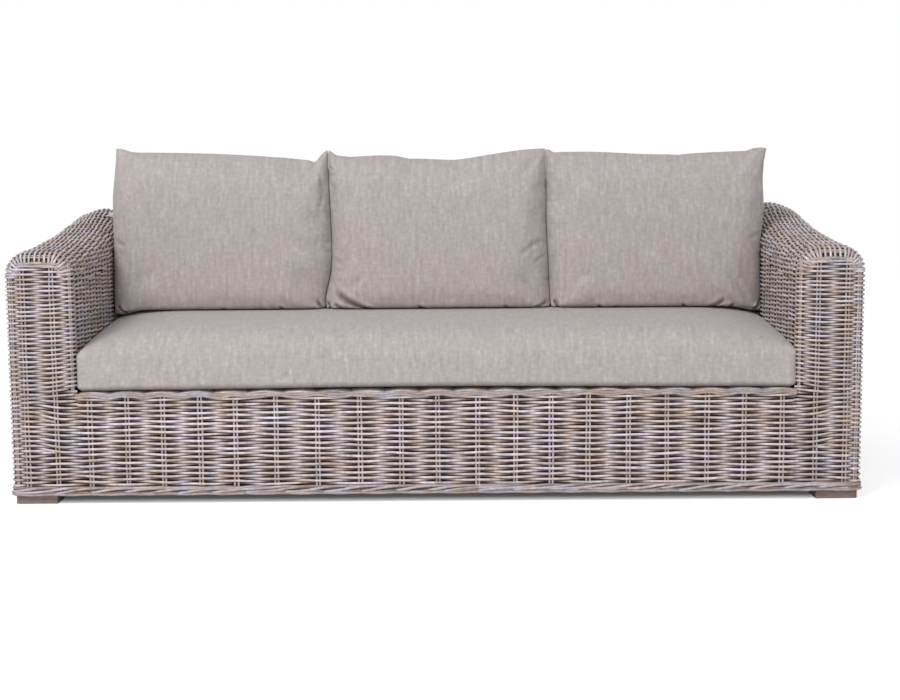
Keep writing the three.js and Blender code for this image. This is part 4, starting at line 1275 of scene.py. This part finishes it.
def swollen(piece, cap, pressure, growth):
    """Lets the piece's cloth grow a little and swell, no point moved further than the cap."""
    start = points_of(piece.data)
    cloth = piece.modifiers.new("cloth", "CLOTH")
    settings = cloth.settings
    settings.quality = 4
    settings.mass = 0.25
    settings.tension_stiffness = settings.compression_stiffness = 12
    settings.shear_stiffness = 4
    settings.bending_stiffness = 0.25
    settings.use_pressure = True
    settings.uniform_pressure_force = pressure
    settings.shrink_min = -growth
    settings.effector_weights.gravity = 0
    if "seam" in piece.vertex_groups:
        settings.vertex_group_mass = "seam"
    cloth.point_cache.frame_start, cloth.point_cache.frame_end = 1, CLOTH_FRAMES
    for number in range(1, CLOTH_FRAMES + 1):
        scene.frame_set(number)
    moved = points_of(evaluated(piece).data) - start
    piece.modifiers.remove(cloth)
    scene.frame_set(1)
    length = np.linalg.norm(moved, axis=1)
    moved *= (cap * np.tanh(length / cap) / np.maximum(length, 1e-9))[:, None]
    set_points(piece, start + moved)
    piece.data.update()


def finer(piece):
    """The piece with one subdivision applied, and its points."""
    subdivision = piece.modifiers.new("finer", "SUBSURF")
    subdivision.levels = subdivision.render_levels = 1
    piece = plain(piece)
    piece.vertex_groups.clear()
    return piece, points_of(piece.data)


def along_path(points, path):
    """Distance of each point from a path, and the share of the path at its nearest place."""
    path = np.asarray(path, float)
    best, share = np.full(len(points), 1e9), np.zeros(len(points))
    lengths = np.linalg.norm(np.diff(path, axis=0), axis=1)
    starts = lengths_along(path)
    for a, b, start, length in zip(path, path[1:], starts, lengths):
        t = np.clip((points - a) @ (b - a) / length ** 2, 0, 1)
        distance = np.linalg.norm(points - (a + t[:, None] * (b - a)), axis=1)
        closer = distance < best
        best[closer] = distance[closer]
        share[closer] = (start + t[closer] * length) / starts[-1]
    return best, share


def crease(points, path, depth, width):
    """How far points sink along a crease that runs out at its upper end, with raised lips."""
    distance, share = along_path(points, path)
    fade = smooth(share / 0.35) if path[0][1] > path[-1][1] else smooth((1 - share) / 0.35)
    ratio = distance / width
    return depth * fade * (np.exp(-ratio ** 2) - 0.3 * np.exp(-((ratio - 2.2) / 0.9) ** 2))


def puckers(place, distance, size, seed):
    """Small gathers along a seam: their depth falls off away from it."""
    knots = np.random.default_rng(seed).normal(size=400)
    wave = np.interp(place / 0.009, np.arange(400), knots)
    patches = np.interp(place / 0.07, np.arange(400), np.abs(knots[::-1]))
    return size * wave * patches * np.exp(-distance / 0.014)


def back_cushion(cushion):
    piece = back_start(cushion)
    swollen(piece, 0.007, 1.8, 0.008)
    piece, co = finer(piece)
    left_name, right_name = SIDES_OF[cushion]
    low, high = side_at(left_name, co[:, 2]), side_at(right_name, co[:, 2])
    flat = co[:, [0, 2]]
    facing = smooth((0.10 - co[:, 1]) / 0.03)
    sink = np.zeros(len(co))
    for path, depth, width in CREASES[cushion]:
        sink += crease(flat, path, depth, 1.15 * width)
    seed = len(cushion)
    sink += puckers(co[:, 0] + 2, co[:, 2] - BACK_BASE, 0.0014, seed)
    sink += puckers(co[:, 2], np.minimum(co[:, 0] - low, high - co[:, 0]), 0.0012, seed + 9)
    sink += puckers(co[:, 0] + 2, np.abs(top_at(cushion, co[:, 0]) - co[:, 2]), 0.0010, seed + 17)
    co[:, 1] += 1.8 * sink * facing
    # Painted shade in the creases: the linen darkens where the front sinks
    crease_shade = np.clip(sink * facing / 0.0055, 0, 1)
    for edge, way, shift in ((low, 1, 3), (high, -1, 23)):
        pull = puckers(co[:, 2], np.abs(co[:, 0] - edge), 0.0030, seed + shift)
        ahead = 0.060 + BACK_SEAM * (co[:, 2] - BACK_BASE) / 0.46 - co[:, 1]
        co[:, 0] += way * np.clip(pull, 0, 0.005) * smooth(ahead / 0.012)
    under = np.clip((co[:, 2] - BACK_BASE) / 0.06, 0, 1)
    boxy = BACK_BASE + 0.06 * under ** 1.7
    co[:, 2] = np.where((under > 0) & (under < 1) & (co[:, 1] < 0.06), boxy, co[:, 2])
    outer_right = np.clip((co[:, 0] - 0.78) / 0.18, 0, 1) ** 2
    co[:, 0] += 0.0065 * outer_right * smooth((0.86 - co[:, 2]) / 0.1)
    co[:, 0] = np.clip(co[:, 0], low + 0.0002, high - 0.0002 + 0.0035 * (cushion == "right"))
    co[:, 1] = np.minimum(co[:, 1], REST)
    co[:, 2] = np.maximum(co[:, 2], BACK_BASE - drop_at(co[:, 0]))
    middle = (side_at(left_name, 0.48) + side_at(right_name, 0.48)) / 2
    beside, along = np.abs(co[:, 1] - BACK_ZIP_PLACE), np.abs(co[:, 0] - middle)
    open_here = smooth((0.0185 - beside) / 0.005) * smooth((0.222 - along) / 0.008)
    groove = co[:, 2] < 0.52
    co[groove, 2] += (open_here * np.maximum(GROOVE_ROOF - co[:, 2], 0))[groove]
    set_points(piece, co)
    piece.data.attributes.new("crease_shade", "FLOAT", "POINT").data.foreach_set(
        "value", crease_shade.astype(np.float32))
    return piece


def seat_cushion():
    piece = seat_start()
    swollen(piece, 0.006, 1.6, 0.0)
    piece, co = finer(piece)
    roof = SEAT["top"] + SEAT_SWELL * smooth((-0.02 - co[:, 1]) / 0.10)
    give = 0.004
    co[:, 2] = np.where(co[:, 2] > roof - give,
                        roof - give + give * np.tanh((co[:, 2] - roof + give) / give), co[:, 2])
    over = np.clip((np.abs(co[:, 0]) - 0.80) / 0.165, 0, 1)
    co[:, 0] += np.where(co[:, 0] < 0, -0.0085, 0.0125) * over ** 2
    co[:, 0] = np.clip(co[:, 0], -0.9705, 0.9745)
    co[:, 1] = np.clip(co[:, 1], SEAT["front"] - 0.010, REST - 0.006)
    co[:, 2] = np.maximum(co[:, 2], SEAT["bottom"])
    lift = 0.0068 * np.exp(-((co[:, 0] + 0.02) / 0.6) ** 2) * smooth((-0.38 - co[:, 1]) / 0.07)
    co[:, 2] += lift * (1 - smooth((co[:, 2] - SEAT["bottom"]) / 0.06))
    open_here = (smooth((0.0135 - np.abs(co[:, 2] - SEAT_ZIP_HEIGHT)) / 0.0045)
                 * smooth((0.628 - np.abs(co[:, 0])) / 0.02) * (co[:, 1] > 0.2))
    co[:, 1] -= open_here * np.maximum(co[:, 1] - GROOVE_FACE, 0)
    set_points(piece, co)
    return piece


def linen_material():
    """Taupe linen: slubs and streaks along the upright threads, a fine plain weave, soft sheen, and
    painted shade in the creases.
    """
    material, tree, shader = new_material("taupe linen")
    uv = new_node(tree, "ShaderNodeUVMap", uv_map="threads").outputs[0]

    def stretched(across, along, detail):
        return noise(tree, vector_maths(tree, "MULTIPLY", uv, (across, along, 1)), detail=detail)

    def thread_waves(where, direction):
        return new_node(tree, "ShaderNodeTexWave", {
            "Vector": where, "Scale": 240.0, "Distortion": 1.2, "Detail": 1.0},
            bands_direction=direction).outputs["Fac"]

    streaks, slubs = stretched(78, 15, 1.0), stretched(170, 40, 0.0)
    cross, clouds = stretched(80, 100, 0.0), stretched(9, 6, 2.0)
    tone = weighed(tree, (streaks, 0.40), (slubs, 0.24), (cross, 0.28), (clouds, 0.08))
    colour = ramp(tree, tone, [
        (0.28, (0.362, 0.318, 0.311)), (0.46, (0.423, 0.378, 0.369)),
        (0.56, (0.457, 0.412, 0.403)), (0.74, (0.553, 0.509, 0.499))])
    # Painted shade in deep creases
    painted_crease_shade = ramp(tree, attribute(tree, "crease_shade"), [(0.0, (1, 1, 1)), (1.0, (0.52, 0.44, 0.43))])
    warp = thread_waves(vector_maths(tree, "MULTIPLY", uv, (1, 0.15, 1)), "X")
    height = weighed(tree, (warp, 0.4), (thread_waves(uv, "Y"), 0.4), (slubs, 1.0))
    dress(tree, shader, vector_maths(tree, "MULTIPLY", colour, painted_crease_shade), 0.9, height, 0.3, 0.0007)
    shader.inputs["Sheen Weight"].default_value = 0.25
    shader.inputs["Sheen Roughness"].default_value = 0.5
    return material


linen = linen_material()
for name in ("seat_cushion", "back_cushion_left", "back_cushion_centre", "back_cushion_right"):
    shape = seat_cushion() if name == "seat_cushion" else back_cushion(name.split("_")[-1])
    shape.name = name + "_linen"
    shape.data.materials.clear()
    shape.data.materials.append(linen)
    shape.data.polygons.foreach_set("use_smooth", np.ones(len(shape.data.polygons), bool))
    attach(shape, name)
    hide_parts(name + "_cover", name + "_filling")


# Floor, lights and camera
def stage():
    floor_mesh = mesh_of("floor", [(-9, -7, 0), (9, -7, 0), (9, 9, 0), (-9, 9, 0)],
                         [(0, 1, 2, 3)])
    material, tree, shader = new_material("pale floor")
    shader.inputs["Base Color"].default_value = (0.9, 0.9, 0.9, 1)
    shader.inputs["Roughness"].default_value = 0.9
    # The floor glows for camera rays, much less under and close round the sofa: a painted shadow
    # there
    from_middle = vector_maths(tree, "ABSOLUTE", object_place(tree))
    spot = new_node(tree, "ShaderNodeSeparateXYZ", {0: from_middle}).outputs
    beyond = maths(tree, "MAXIMUM", maths(tree, "SUBTRACT", spot["X"], HALF_WIDTH - 0.028),
                   maths(tree, "SUBTRACT", spot["Y"], HALF_DEPTH - 0.020))
    glow_with_painted_shadow = ranged(tree, beyond, -0.06, 0.03, 0.05, 0.55, interpolation_type="SMOOTHSTEP")
    seen = new_node(tree, "ShaderNodeLightPath").outputs["Is Camera Ray"]
    tree.links.new(maths(tree, "MULTIPLY", glow_with_painted_shadow, seen), shader.inputs["Emission Strength"])
    shader.inputs["Emission Color"].default_value = (1, 1, 1, 1)
    floor_mesh.materials.append(material)
    floor = placed("floor", floor_mesh)
    world = bpy.data.worlds.new("studio")
    scene.world = world
    world.use_nodes = True
    tree = world.node_tree
    tree.nodes.clear()
    rays = new_node(tree, "ShaderNodeLightPath").outputs
    direct = maths(tree, "MAXIMUM", rays["Is Camera Ray"], maths(
        tree, "MAXIMUM", rays["Is Glossy Ray"], rays["Is Transmission Ray"]))
    white = (1, 1, 1, 1)
    soft, full = (new_node(tree, "ShaderNodeBackground", {"Color": white, "Strength": power}
                           ).outputs[0] for power in (0.42, 1.0))
    mixed = new_node(tree, "ShaderNodeMixShader", {0: direct, 1: soft, 2: full})
    output = tree.nodes.new("ShaderNodeOutputWorld")
    tree.links.new(mixed.outputs[0], output.inputs[0])
    for name, place, target, size, power in (
            ("key", (-3.2, -4.6, 5.6), (0.1, 0, 0.4), 3.4, 290),
            ("front", (0.3, -5.6, 1.9), (0.1, 0, 0.4), 2.8, 52),
            ("fill", (2.6, -3.8, 2.6), (0.3, 0, 0.4), 2.6, 14)):
        lamp = bpy.data.lights.new(name, "AREA")
        lamp.size = size
        lamp.energy = power
        light = placed(name, lamp)
        light.location = place
        light.rotation_euler = (Vector(target) - Vector(place)).to_track_quat("-Z", "Y").to_euler()
    scene.view_settings.view_transform = "Standard"


def camera():
    data = bpy.data.cameras.new("camera")
    data.sensor_width = 36
    data.lens = 65.84
    data.clip_end = 60
    lens = placed("camera", data)
    pitch, roll = math.radians(7.27), math.radians(0.40)
    right = Vector((1, 0, 0))
    up = Vector((0, math.sin(pitch), math.cos(pitch)))
    ahead = Vector((0, math.cos(pitch), -math.sin(pitch)))
    across = math.cos(roll) * right - math.sin(roll) * up
    upright = math.sin(roll) * right + math.cos(roll) * up
    turn = Matrix((across, upright, -ahead)).transposed().to_4x4()
    lens.matrix_world = Matrix.Translation((0.0388, -4.856, 0.9748)) @ turn
    scene.camera = lens


stage()
camera()
